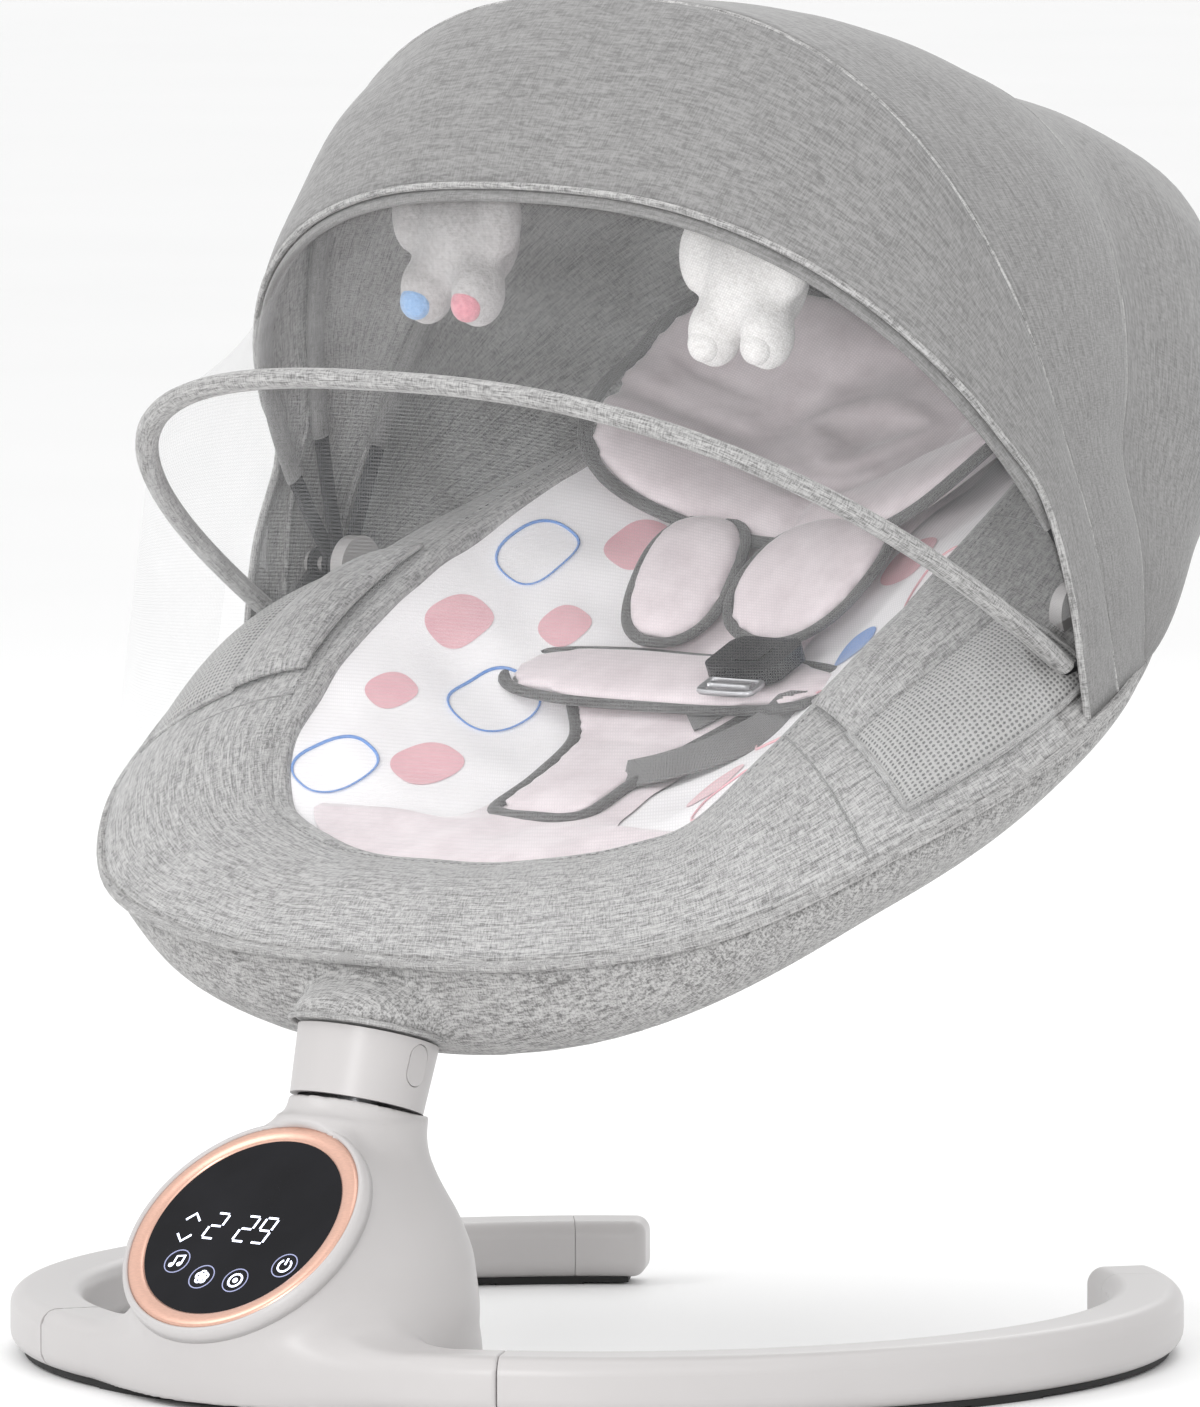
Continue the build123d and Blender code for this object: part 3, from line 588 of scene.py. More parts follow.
def black_panel(name):
    """Gloss black panel with a faint deep tone and finger smears in its gloss."""
    n = Nodes(name)
    cloud = n.noise(n.coordinates("Object"), 22.0, 3.0)
    tone = n.ramp(cloud, [(0.2, (0.004, 0.004, 0.005)), (0.8, (0.012, 0.012, 0.015))])
    n.link(tone, n.shader.inputs["Base Color"])
    rough = n.math("MULTIPLY_ADD", cloud, 0.08)
    rough.node.inputs[2].default_value = 0.05
    n.link(rough, n.shader.inputs["Roughness"])
    n.set(Specular_IOR_Level=0.12)
    return n.material


def glow(name, colour, strength):
    n = Nodes(name)
    tone = n.noise(n.coordinates("Object"), 60.0, 1.0)
    dim = tuple(c * 0.85 for c in colour)
    shade = n.ramp(tone, [(0.2, dim), (0.8, colour)])
    n.link(shade, n.shader.inputs["Base Color"])
    n.link(shade, n.shader.inputs["Emission Color"])
    n.set(Emission_Strength=strength, Roughness=0.4)
    return n.material


def plush(name, colour, shade):
    """Short curly pile of a soft toy."""
    n = Nodes(name)
    curls = n.noise(n.coordinates("Object"), 420.0, 5.0, 0.65)
    soft = n.noise(n.coordinates("Object"), 60.0, 2.0)
    both = n.math("ADD", n.math("MULTIPLY", curls, 0.7), n.math("MULTIPLY", soft, 0.3))
    n.link(n.ramp(both, [(0.34, shade), (0.58, colour)]), n.shader.inputs["Base Color"])
    n.bump(both, 0.9, 0.002)
    n.set(Roughness=0.95, Sheen_Weight=0.6, Sheen_Roughness=0.4, Specular_IOR_Level=0.15)
    return n.material


def printed_cotton(name):
    """White brushed cotton with a very faint weave and soft shadows in the quilting."""
    n = Nodes(name)
    place = n.coordinates("Object")
    cloud = n.noise(place, 26.0, 3.0)
    weave = n.noise(n.coordinates("Object", (900, 900, 900)), 1.0, 2.0)
    tone = n.ramp(cloud, [(0.3, (0.93, 0.91, 0.925)), (0.7, (0.975, 0.96, 0.97))])
    n.link(tone, n.shader.inputs["Base Color"])
    both = n.math("ADD", n.math("MULTIPLY", cloud, 0.7), n.math("MULTIPLY", weave, 0.3))
    n.bump(both, 0.3, 0.0016)
    n.set(Roughness=0.9, Sheen_Weight=0.3, Specular_IOR_Level=0.2)
    return n.material


def floor_paint(name):
    n = Nodes(name)
    cloud = n.noise(n.coordinates("Object"), 1.5, 2.0)
    tone = n.ramp(cloud, [(0.2, (0.93, 0.93, 0.93)), (0.8, (0.955, 0.955, 0.955))])
    n.link(tone, n.shader.inputs["Base Color"])
    n.set(Roughness=0.6, Specular_IOR_Level=0.25)
    return n.material


PLASTIC = moulded_plastic("warm_grey_plastic", (0.50, 0.483, 0.48))
PLASTIC_DARK = moulded_plastic("dark_plastic", (0.045, 0.045, 0.048), 0.42)
BLACK = moulded_plastic("black_plastic", (0.012, 0.012, 0.013), 0.35)
RUBBER = moulded_plastic("black_rubber", (0.018, 0.018, 0.018), 0.75, 0.3)
BOARD = moulded_plastic("board_green", (0.02, 0.12, 0.05), 0.5)
STEEL = metal_lacquer("plain_steel", (0.55, 0.55, 0.57))
COPPER = metal_lacquer("copper_wire", (0.72, 0.33, 0.16))
ROSE_GOLD = metal_lacquer("rose_gold", (0.76, 0.47, 0.37))
HEATHER = heather("heather_cloth")
HEATHER_SOLID = heather("heather_cloth_padded", kind="Object")
HEATHER_DARK = heather("heather_cloth_inside", (0.30, 0.297, 0.295), (0.16, 0.158, 0.157))
BINDING = heather("binding_tape", (0.17, 0.168, 0.167), (0.05, 0.049, 0.048), slub=1.4)
VELVET = velvet("pale_velvet", (0.86, 0.775, 0.80), (0.72, 0.635, 0.66))
WEBBING = webbing("ribbed_webbing", (0.27, 0.265, 0.265))
# the second colour is the painted shade in the holes of the knit
KNIT = mesh_cloth("knitted_mesh", (0.42, 0.415, 0.41), (0.13, 0.13, 0.13))
NET = sheer_net("insect_net", (0.66, 0.665, 0.67), 0.10)
NET_LOW = sheer_net("insect_net_low", (0.86, 0.87, 0.88), 0.05)
GLASS = black_panel("display_black")
FIGURES = glow("display_figures", (0.80, 0.84, 1.0), 2.4)
ICON_RING = glow("display_rings", (0.30, 0.32, 0.50), 0.5)
PLUSH_WHITE = plush("plush_white", (0.90, 0.885, 0.875), (0.72, 0.70, 0.69))
PLUSH_GREY = plush("plush_grey", (0.60, 0.58, 0.58), (0.42, 0.40, 0.40))
PLUSH_BLUE = plush("plush_blue", (0.34, 0.55, 0.86), (0.22, 0.40, 0.70))
PLUSH_PINK = plush("plush_pink", (0.86, 0.36, 0.42), (0.66, 0.24, 0.30))
COTTON = printed_cotton("printed_cotton")
INK_PINK = velvet("ink_pink", (0.86, 0.52, 0.56), (0.80, 0.45, 0.50))
INK_BLUE = velvet("ink_blue", (0.20, 0.36, 0.74), (0.15, 0.30, 0.66))


# --- stage -------------------------------------------------------------------

def build_stage():
    """Pale floor and background, and soft light."""
    mesh = bpy.data.meshes.new("studio_floor")
    size = 30.0
    corners = [(-size, -size, 0), (size, -size, 0), (size, size, 0), (-size, size, 0)]
    mesh.from_pydata(corners, [], [(0, 1, 2, 3)])
    floor = bpy.data.objects.new("studio_floor", mesh)
    bpy.context.scene.collection.objects.link(floor)
    paint(floor, floor_paint("studio_floor"))
    world = bpy.data.worlds.new("studio")
    world.use_nodes = True
    world.node_tree.nodes["Background"].inputs["Color"].default_value = (1, 1, 1, 1)
    world.node_tree.nodes["Background"].inputs["Strength"].default_value = 1.0
    bpy.context.scene.world = world
    bpy.context.scene.view_settings.view_transform = "Standard"
    lamps = (("key_light", (-1.6, -2.6, 2.7), 1.9, 28), ("fill_light", (2.9, -1.8, 1.7), 2.2, 10),
             ("front_light", (1.2, -2.7, 0.75), 0.8, 20),
             ("top_light", (0.2, 0.6, 3.2), 2.4, 16), ("back_light", (-1.5, 2.8, 2.0), 1.8, 12))
    for name, place, size, power in lamps:
        light = bpy.data.lights.new(name, "AREA")
        light.shape = "DISK"
        light.size = size
        light.energy = power
        lamp = bpy.data.objects.new(name, light)
        lamp.location = place
        lamp.rotation_euler = (Vector((0, 0, 0.33)) - lamp.location).to_track_quat("-Z", "Y").to_euler()
        bpy.context.scene.collection.objects.link(lamp)


def build_camera():
    """Long lens from the display side, looking slightly down."""
    azimuth, elevation, distance = math.radians(39.5), math.radians(5.0), 8.0
    back = Vector((math.sin(azimuth) * math.cos(elevation), -math.cos(azimuth) * math.cos(elevation),
                   math.sin(elevation)))
    side = Vector((math.cos(azimuth), math.sin(azimuth), 0))
    up = back.cross(side)
    target = Vector(at((0, 0, 0))) + side * 0.0015 + up * 0.3305
    data = bpy.data.cameras.new("camera")
    data.lens = 400.0
    data.sensor_width = 36.0
    data.clip_end = 60.0
    camera = bpy.data.objects.new("camera", data)
    camera.location = target + back * distance
    camera.rotation_euler = back.to_track_quat("Z", "Y").to_euler()
    bpy.context.scene.collection.objects.link(camera)
    bpy.context.scene.camera = camera


# --- base --------------------------------------------------------------------

HOUSING_EDGE = math.radians(30.0)
DOME_HEIGHTS = [0, 25, 45, 70, 88, 101, 113, 126, 150]
DOME_RADII = [84, 83, 80, 72, 61.5, 51, 43, 36.5, 34]
NECK_RADIUS = 34.0
DISPLAY_RADIUS = 65.0


def housing_field(p):
    """Distance to the housing: ring, dome, display pod and lower neck, blended together."""
    x, y, z = p[:, 0], p[:, 1], p[:, 2]
    around = np.hypot(x, y)
    ring = rounded_box(np.stack([around - RING_RADIUS, z - 19.0], axis=-1), (19.0, 15.0), 9.0)
    middle = SWING_FROM_RING[1] - (SWING_FROM_RING[2] - np.maximum(z, 35)) * math.tan(NECK_TILT)
    radius = np.interp(z, np.linspace(0, 150, 61), smooth_profile(DOME_HEIGHTS, DOME_RADII, 61))
    dome = np.maximum((np.hypot(x, y - middle) - radius) * 0.9, z - 135)
    q = p - DISPLAY_CENTRE
    out = q @ DISPLAY_OUT
    flat = np.linalg.norm(q - out[:, None] * DISPLAY_OUT, axis=1)
    pod = rounded_box(np.stack([flat, out + 44.0], axis=-1), (DISPLAY_RADIUS + 2.0, 41.0), 5.0)
    w = (p - SWING_FROM_RING) @ NECK_UP
    off_axis = np.linalg.norm(p - SWING_FROM_RING - w[:, None] * NECK_UP, axis=1)
    neck = rounded_box(np.stack([off_axis, w + 31.0], axis=-1), (NECK_RADIUS, 30.0), 1.2)
    whole = smooth_union(dome, pod, 26.0)
    whole = smooth_union(whole, ring, 30.0)
    whole = smooth_union(whole, neck, 9.0)
    beyond = np.maximum(x * math.cos(HOUSING_EDGE) + y * math.sin(HOUSING_EDGE),
                        -x * math.cos(HOUSING_EDGE) + y * math.sin(HOUSING_EDGE))
    whole = np.maximum(whole, np.minimum(beyond + 0.3, around - 256.0))
    whole = np.maximum(whole, 4.0 - z)
    recess = np.maximum(flat - (DISPLAY_RADIUS - 1.0), -(out + 6.5))
    bore = np.maximum(off_axis - 29.0, -(w + 14.0))
    return np.maximum(whole, -np.minimum(recess, bore))


def smooth_profile(places, values, count):
    """Values along places, made smooth by averaging a straight interpolation."""
    fine = np.interp(np.linspace(places[0], places[-1], count * 4), places, values)
    kernel = np.ones(21) / 21
    padded = np.concatenate([np.full(10, fine[0]), fine, np.full(10, fine[-1])])
    return np.convolve(padded, kernel, "valid")[::4][:count]


def build_housing():
    step = 2.3
    verts, faces = surface_of(housing_field, (-160, -336, 0.5), (160, -118, 150), step)
    housing = new_object("housing_moulding", verts, faces)
    paint(housing, PLASTIC)
    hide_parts("motor_housing", "neck_lower")
    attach(housing, "base")


def display_point(x, y, lift):
    """Point on the display face: x to its right, y up its slope, lift off the glass."""
    return DISPLAY_CENTRE + RIGHT * x + DISPLAY_UP * y + DISPLAY_OUT * (lift - 1.5)


def flat_strokes(name, strokes, width, material, lift=0.25):
    """Raised marks on the display, each stroke a list of points joined by a flat line."""
    verts, faces = [], []
    for stroke in strokes:
        line = np.array([display_point(x, y, lift) for x, y in stroke])
        tangent = unit(np.gradient(line, axis=0))
        across = np.cross(DISPLAY_OUT, tangent) * width / 2
        base = len(verts)
        for a, b in zip(line, across):
            verts += [a - b, a + b, a + b - DISPLAY_OUT * 0.4, a - b - DISPLAY_OUT * 0.4]
        for i in range(len(line) - 1):
            for j in range(4):
                k = base + 4 * i
                faces.append((k + j, k + (j + 1) % 4, k + 4 + (j + 1) % 4, k + 4 + j))
        last = base + 4 * (len(line) - 1)
        faces += [(base + 3, base + 2, base + 1, base), (last, last + 1, last + 2, last + 3)]
    marks = new_object(name, np.array(verts), faces, smooth=False)
    paint(marks, material)
    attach(marks, "base")


def arc(x, y, radius, start=0.0, end=360.0, count=28):
    turn = np.radians(np.linspace(start, end, count))
    return [(x + radius * math.cos(t), y + radius * math.sin(t)) for t in turn]


SEGMENTS = {"2": "abged", "9": "abcdfg"}


def seven_segment(figure, x, y, width=9.0, height=19.0):
    """Strokes of a slanted seven-segment figure."""
    h = height / 2
    corner = {"a": ((0, height), (width, height)), "b": ((width, height), (width, h)),
              "c": ((width, h), (width, 0)), "d": ((0, 0), (width, 0)), "e": ((0, 0), (0, h)),
              "f": ((0, h), (0, height)), "g": ((0, h), (width, h))}
    strokes = []
    for letter in SEGMENTS[figure]:
        (x0, y0), (x1, y1) = corner[letter]
        ends = [(x0 + (x1 - x0) * t, y0 + (y1 - y0) * t) for t in (0.1, 0.9)]
        strokes.append([(x + px + 0.14 * py, y + py) for px, py in ends])
    return strokes


def build_display():
    outer = DISPLAY_RADIUS
    bezel_profile = [(outer - 9.6, -6.0), (outer - 9.6, -1.6), (outer - 8.2, -0.5), (outer - 5, 0.1),
                     (outer - 2.2, 0.0), (outer - 0.6, -0.7), (outer, -2.2), (outer, -6.0)]
    bezel = lathe_object("bezel_ring", bezel_profile, DISPLAY_CENTRE, DISPLAY_OUT, RIGHT, 144)
    paint(bezel, ROSE_GOLD)
    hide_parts("display_bezel")
    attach(bezel, "base")
    lip_profile = [(outer - 0.2, -9.0), (outer - 0.2, -0.9), (outer + 0.9, 0.0), (outer + 2.2, -0.4),
                   (outer + 3.6, -3.0), (outer + 3.9, -9.0)]
    surround = lathe_object("display_surround", lip_profile, DISPLAY_CENTRE, DISPLAY_OUT, RIGHT, 144)
    paint(surround, PLASTIC)
    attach(surround, "base")
    figures = (seven_segment("2", -22, -9, 7.6, 16) + seven_segment("2", -2, -9, 7.6, 16)
               + seven_segment("9", 10, -9, 7.6, 16))
    flat_strokes("display_numerals", figures, 1.05, FIGURES)
    chevrons = [[(-38, 1), (-33.5, 5.5), (-29, 1)], [(-38, -8), (-33.5, -12.5), (-29, -8)]]
    flat_strokes("display_chevrons", chevrons, 1.1, FIGURES)
    places = ((-28, -25), (-7, -33), (15, -33), (40, -21))
    flat_strokes("display_icon_rings", [arc(x, y, 7.2) for x, y in places], 0.5, ICON_RING)
    (x1, y1), (x2, y2), (x3, y3), (x4, y4) = places
    note = [[(x1 - 1.6, y1 - 2.5), (x1 - 1.6, y1 + 3.2), (x1 + 3.2, y1 + 4.0), (x1 + 3.2, y1 - 1.5)]]
    heads = [arc(x1 - 2.8, y1 - 2.6, 0.8), arc(x1 + 2.0, y1 - 1.6, 0.8)]
    petals = [arc(x2 + 2.1 * math.cos(t), y2 + 2.1 * math.sin(t), 1.7, count=18)
              for t in (0.4, 1.66, 2.9, 4.2, 5.4)]
    timer = [arc(x3, y3, 3.9), arc(x3, y3, 1.0)]
    power = [arc(x4, y4, 3.8, 125, 415), [(x4, y4 + 0.5), (x4, y4 + 4.6)]]
    flat_strokes("display_icons", note + heads + petals + timer + power, 0.95, FIGURES)


def build_base():
    build_housing()
    build_display()
    for node in ("right_leg", "left_leg", "right_end_cap", "left_end_cap"):
        paint(frame["nodes"][node], PLASTIC)
    finishes = {BLACK: ("housing_bottom_plate", "speaker", "neck_bearings", "dc_inlet", "leg_spigots",
                        "rotor_arm"),
                RUBBER: ("front_sole", "side_soles", "rubber_feet"), GLASS: ("display_glass",),
                BOARD: ("display_board", "main_board"), COPPER: ("drive_coil",),
                STEEL: ("swing_shaft", "drive_magnets", "leg_screws", "release_spring_right",
                        "release_spring_left", "seat_frame_tube"),
                PLASTIC_DARK: ("seat_plug", "seat_saucer", "seat_post", "seat_board", "toy_eyelets",
                               "canopy_bow_rear", "canopy_bow_mid", "canopy_bow_front", "net_bow"),
                PLASTIC: ("neck_upper", "release_button_right", "release_button_left", "canopy_brackets",
                          "canopy_pins")}
    for material, nodes in finishes.items():
        for node in nodes:
            paint(frame["nodes"][node], material)


# --- seat --------------------------------------------------------------------

RIM_HALF = [(0, -264), (100, -258), (191, -224), (245, -160), (277, -70), (281, 0), (262, 70), (206, 170),
            (134, 290), (72, 356), (0, 387)]
RIM_FOOT = -264.0
SHELL_SECTIONS = [(0.2, -56, 120), (0.5, -50, 60), (0.72, -40, 24), (0.86, -24, 14), (0.94, -8, 8),
                  (0.975, 2, 4), (1.0, 4, 0), (1.006, -2, 0), (0.985, -11, 0), (0.96, -18, 0),
                  (0.88, -34, 0), (0.75, -48, 5), (0.5, -62, 20), (0.22, -67, 70)]
OPENING_HALF = [(0, -195, 15), (60, -190, 15), (110, -170, 15), (137, -148, 16), (157, -107, 33),
                (167, -33, 49), (165, 40, 56), (151, 124, 59), (138, 190, 60), (112, 250, 60),
                (60, 292, 60), (0, 305, 60)]
WELL_LINE = [(-199, 7), (-150, -8), (-109, -17), (-60, -20), (-18, -21), (20, -14), (60, -4), (121, 17),
             (200, 20), (270, 20), (288, 32), (300, 52)]
EDGE_ROLL = 7.0


def whole_outline(half, count):
    """Closed curve through a right-hand half outline and its mirror image, from the foot round."""
    half = np.asarray(half, dtype=float)
    left = half[1:-1][::-1].copy()
    left[:, 0] *= -1
    return smooth_curve(np.vstack([half, left]), count, closed=True)


def seat_point(x, along, height):
    """Point on the seat, whose foot end droops a little below the plane of the rim."""
    droop = 12.0 * smoothstep((-120.0 - np.asarray(along, dtype=float)) / 150.0)
    return rim_frame(x, along, height - droop)


def wrinkled(points, size, depth, seed=0.0):
    """Points moved up or down by soft noise, as a stretch of cloth is never quite even."""
    flat = points.reshape(-1, 3)
    lift = [noise.noise(Vector(p / size) + Vector((seed, seed * 0.7, 0))) for p in flat]
    return np.array(lift).reshape(points.shape[:-1]) * depth


def capped(name, rings, smooth=True):
    """Closed mesh through a stack of closed rings, each end closed to its middle."""
    rows, columns = rings.shape[:2]
    verts = np.vstack([rings.reshape(-1, 3), rings[0].mean(0)[None], rings[-1].mean(0)[None]])
    faces = [tuple(f) for f in grid_faces(rows, columns, closed_columns=True)]
    first, last = rows * columns, rows * columns + 1
    for i in range(columns):
        j = (i + 1) % columns
        faces.append((first, j, i))
        faces.append((last, (rows - 1) * columns + i, (rows - 1) * columns + j))
    return new_object(name, verts, faces, smooth=smooth)


def joined(objects):
    """First object with the meshes of all of them."""
    work = bmesh.new()
    for obj in objects:
        work.from_mesh(obj.data)
    work.to_mesh(objects[0].data)
    work.free()
    for obj in objects[1:]:
        bpy.data.objects.remove(obj)
    return objects[0]


def remeshed(obj, voxel, relax=0):
    """The object's shape in even small faces, smoothed a little."""
    facing = bmesh.new()
    facing.from_mesh(obj.data)
    bmesh.ops.recalc_face_normals(facing, faces=facing.faces)
    facing.to_mesh(obj.data)
    facing.free()
    again = obj.modifiers.new("remesh", "REMESH")
    again.mode = "VOXEL"
    again.voxel_size = voxel * MM
    again.use_smooth_shade = True
    if relax:
        smooth = obj.modifiers.new("relax", "SMOOTH")
        smooth.factor = 0.5
        smooth.iterations = relax
    return apply_modifiers(obj)


COLLAR_BACK = -138.0


def build_shell():
    """Padded underside with its collar round the top of the neck."""
    rim = whole_outline(RIM_HALF, 180)
    rings = []
    for scale, height, inset in smooth_curve(SHELL_SECTIONS, 54):
        along = RIM_FOOT + inset + (rim[:, 1] - RIM_FOOT) * scale
        rings.append(seat_point(rim[:, 0] * scale, along, np.full(len(rim), height)))
    shell = capped("seat_cover_under", np.array(rings))
    turn = np.linspace(0, 2 * math.pi, 64, endpoint=False)
    third = np.cross(NECK_UP, RIGHT)
    spokes = np.cos(turn)[:, None] * RIGHT + np.sin(turn)[:, None] * third
    collar = []
    lines = [(-179.8, 177.5, 40.0), (-176.5, 183, 42.0), (-163, 189, 44.0), (-138, 191, 52.0),
             (-100, 196, 58.0)]
    for y, z, radius in smooth_curve(lines, 14):
        ring = np.array([0.0, y, z]) + spokes * radius
        behind = np.maximum(ring[:, 1] - COLLAR_BACK, 0)
        ring[:, 1] -= 0.9 * behind
        collar.append(ring)
    shell = joined([shell, capped("collar", np.array(collar))])
    shell = remeshed(shell, 4.0, 14)
    paint(shell, HEATHER_SOLID)
    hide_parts("seat_shell", "seat_frame_tube", "seat_saucer", "seat_post")
    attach(shell, "seat")
    ring = SWING_FROM_RING + NECK_UP * 38.5 + spokes * 40.4
    seam = tube_object("collar_seam", ring, 1.5, closed=True, segments=8)
    dress(seam, HEATHER, "seat")
    edge = seat_point(rim[:, 0] * 1.008, rim[:, 1] * 1.008, np.full(len(rim), 3.0))
    piping = tube_object("rim_piping", edge, 3.0, closed=True, segments=10)
    dress(piping, HEATHER, "seat")


def dress(obj, material, body):
    """Material and body of a small piece."""
    paint(obj, material)
    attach(obj, body)
    return obj


COLUMNS = 260


def coaming_lines(count=COLUMNS):
    """Rim and opening edge of the padded border, as matching closed lines of (x, along, height)."""
    rim = whole_outline(RIM_HALF, count)
    rim = np.column_stack([rim * 1.004, np.full(count, 4.0)])
    return rim, whole_outline(OPENING_HALF, count)


def coaming_rows(places, lift=0.0):
    """Rows of the padded border at places from 0 at the rim to 1 at the opening."""
    rim, edge = coaming_lines()
    across = edge - rim
    tangent = np.roll(rim, -1, 0) - np.roll(rim, 1, 0)
    normal = unit(np.cross(across, tangent))
    normal *= np.sign(normal[:, 2:3])
    rows = []
    for v in places:
        bulge = 12.0 * math.sin(math.pi * v) ** 0.8 if 0 < v < 1 else 0.0
        rows.append(rim + across * v + normal * (bulge + lift))
    return np.array(rows)


def build_coaming():
    """Padded border from the rim piping up to the rolled edge of the well."""
    rim, edge = coaming_lines()
    rows = list(coaming_rows(np.linspace(0, 0.965, 22)))
    inward = edge - rim
    inward[:, 2] = 0
    inward = unit(inward)
    up = np.array([0.0, 0.0, 1.0])
    middle = edge - up * EDGE_ROLL
    for angle in np.radians(np.arange(-20, 91, 18)):
        rows.append(middle + EDGE_ROLL * (up * math.cos(angle) + inward * math.sin(angle)))
    for depth in (8.0, 18.0, 30.0):
        rows.append(middle + EDGE_ROLL * inward - up * depth)
    rows = np.array(rows)
    grid = seat_point(rows[..., 0], rows[..., 1], rows[..., 2])
    grid = grid + RIM_UP * wrinkled(grid, 55.0, 2.2)[..., None]
    coaming = sheet_object("seat_border", grid, closed=True, flip=True)
    paint(coaming, HEATHER)
    subdivide(coaming)
    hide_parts("seat_coaming")
    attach(coaming, "seat")
    thread = coaming_rows([0.955], 0.3)[0]
    thread = seat_point(thread[:, 0], thread[:, 1], thread[:, 2])
    dress(stitches("border_stitching", thread, RIM_UP, 3.2, 1.8, 0.4), HEATHER_DARK, "seat")
    for number, fraction in enumerate((0.155, 0.845, 0.30, 0.70)):
        column = int(fraction * COLUMNS)
        line = coaming_rows(np.linspace(0.0, 0.97, 16), 0.2)[:, column]
        line = seat_point(line[:, 0], line[:, 1], line[:, 2])
        seam = tube_object(f"border_seam_{number}", line, 0.9, segments=6, flatten=0.6)
        dress(seam, HEATHER_DARK, "seat")


def well_half_width():
    """Half width of the well's mouth for each place along the seat."""
    edge = whole_outline(OPENING_HALF, 400)
    right = edge[:201]
    return right[:, 1], np.maximum(right[:, 0] - 4.0, 2.0), right[:, 2]


def well_height(x, along):
    """Height of the liner over the rim plane."""
    places, widths, edges = well_half_width()
    lines = smooth_curve(WELL_LINE, 120)
    middle = np.interp(along, lines[:, 0], lines[:, 1])
    width = np.interp(along, places, widths)
    top = np.interp(along, places, edges) - 6.0
    part = np.clip(np.abs(x) / width, 0, 1)
    return middle + np.maximum(top - middle, 0) * part ** 2.3


def disc_grid(outline, centre, rings):
    """Concentric rows of (x, along) from a centre out to a closed outline."""
    outline = np.asarray(outline, dtype=float)
    return np.array([centre + (outline - centre) * r for r in np.linspace(0.02, 1, rings)])


def well_patch(name, outline, centre, rings, lift, crown=0.0, crease=0.0, seed=0.0):
    """Surface lying on the liner inside a closed outline of (x, along)."""
    grid = disc_grid(outline, np.asarray(centre, dtype=float), rings)
    share = np.linspace(0.02, 1, rings)[:, None]
    height = well_height(grid[..., 0], grid[..., 1]) + lift + crown * (1 - share ** 4)
    points = seat_point(grid[..., 0], grid[..., 1], height)
    if crease:
        points = points + RIM_UP * wrinkled(points, 32.0, crease, seed)[..., None]
    rows, columns = points.shape[:2]
    verts = np.vstack([points.reshape(-1, 3), points[0].mean(0)[None]])
    faces = [tuple(f) for f in grid_faces(rows, columns, closed_columns=True, flip=True)]
    faces += [(rows * columns, i, (i + 1) % columns) for i in range(columns)]
    return new_object(name, verts, faces)


def blob(x, along, wide, tall, turn=0.0, power=2.6, count=56):
    """Rounded shape of the print, as a closed outline."""
    a = np.linspace(0, 2 * math.pi, count, endpoint=False)
    c, s = np.cos(a), np.sin(a)
    px = wide / 2 * np.sign(c) * np.abs(c) ** (2 / power)
    py = tall / 2 * np.sign(s) * np.abs(s) ** (2 / power)
    r = math.radians(turn)
    turned_x = x + px * math.cos(r) - py * math.sin(r)
    turned_along = along + px * math.sin(r) + py * math.cos(r)
    return np.stack([turned_x, turned_along], axis=-1)


PRINT_ROWS = 8
PRINT_START = -112.0
PRINT_STEP = 32.0


def print_shapes():
    """A plain print: one rounded shape a row on each side, in two lanes, every third one only an outline."""
    places, widths, _ = well_half_width()
    shapes = []
    for side in (-1, 1):
        for row in range(PRINT_ROWS):
            along = PRINT_START + PRINT_STEP * row
            outer_lane = row % 2 == 0
            x = side * np.interp(along, places, widths) * (0.84 if outer_lane else 0.60)
            tall = 46.0 - 9.0 * (row % 3)
            wide = tall * (0.62 if outer_lane else 0.80)
            ink = (INK_BLUE, INK_PINK, INK_PINK)[(row + (side > 0)) % 3]
            shapes.append((x, along, wide, tall, 14.0 * side, ink, row % 3 == 0))
    return shapes


def build_liner():
    edge = whole_outline(OPENING_HALF, COLUMNS)
    outline = edge[:, :2] * np.array([(167 - 2) / 167, 1.0])
    outline[:, 1] = 55 + (outline[:, 1] - 55) * 0.994
    liner = well_patch("seat_lining", outline, (0, 50), 60, 0.0, crease=3.0, seed=2.0)
    paint(liner, COTTON)
    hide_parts("seat_liner")
    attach(liner, "seat")
    strip = [(0, -190), (50, -187), (92, -170), (118, -144), (100, -136), (76, -130), (56, -116),
             (48, -88), (46, -30), (52, 50), (70, 140), (76, 210), (60, 262), (0, 280)]
    cushion = well_patch("seat_base_cushion", whole_outline(strip, 180), (0, -122), 44, 1.2, 6.0, 3.0, 2.0)
    paint(cushion, VELVET)
    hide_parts("seat_cushion")
    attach(cushion, "seat")
    for number, (x, along, wide, tall, turn, ink, outlined) in enumerate(print_shapes()):
        line = blob(x, along, wide, tall, turn)
        if outlined:
            points = seat_point(line[:, 0], line[:, 1], well_height(line[:, 0], line[:, 1]) + 0.7)
            points = points + RIM_UP * wrinkled(points, 32.0, 3.0, 2.0)[..., None]
            piece = tube_object(f"print_outline_{number}", points, 0.9, closed=True, segments=6, flatten=0.5)
        else:
            piece = well_patch(f"print_{number}", line, (x, along), 12, 0.5, 0.0, 3.0, 2.0)
        dress(piece, ink, "seat")


# --- pads --------------------------------------------------------------------

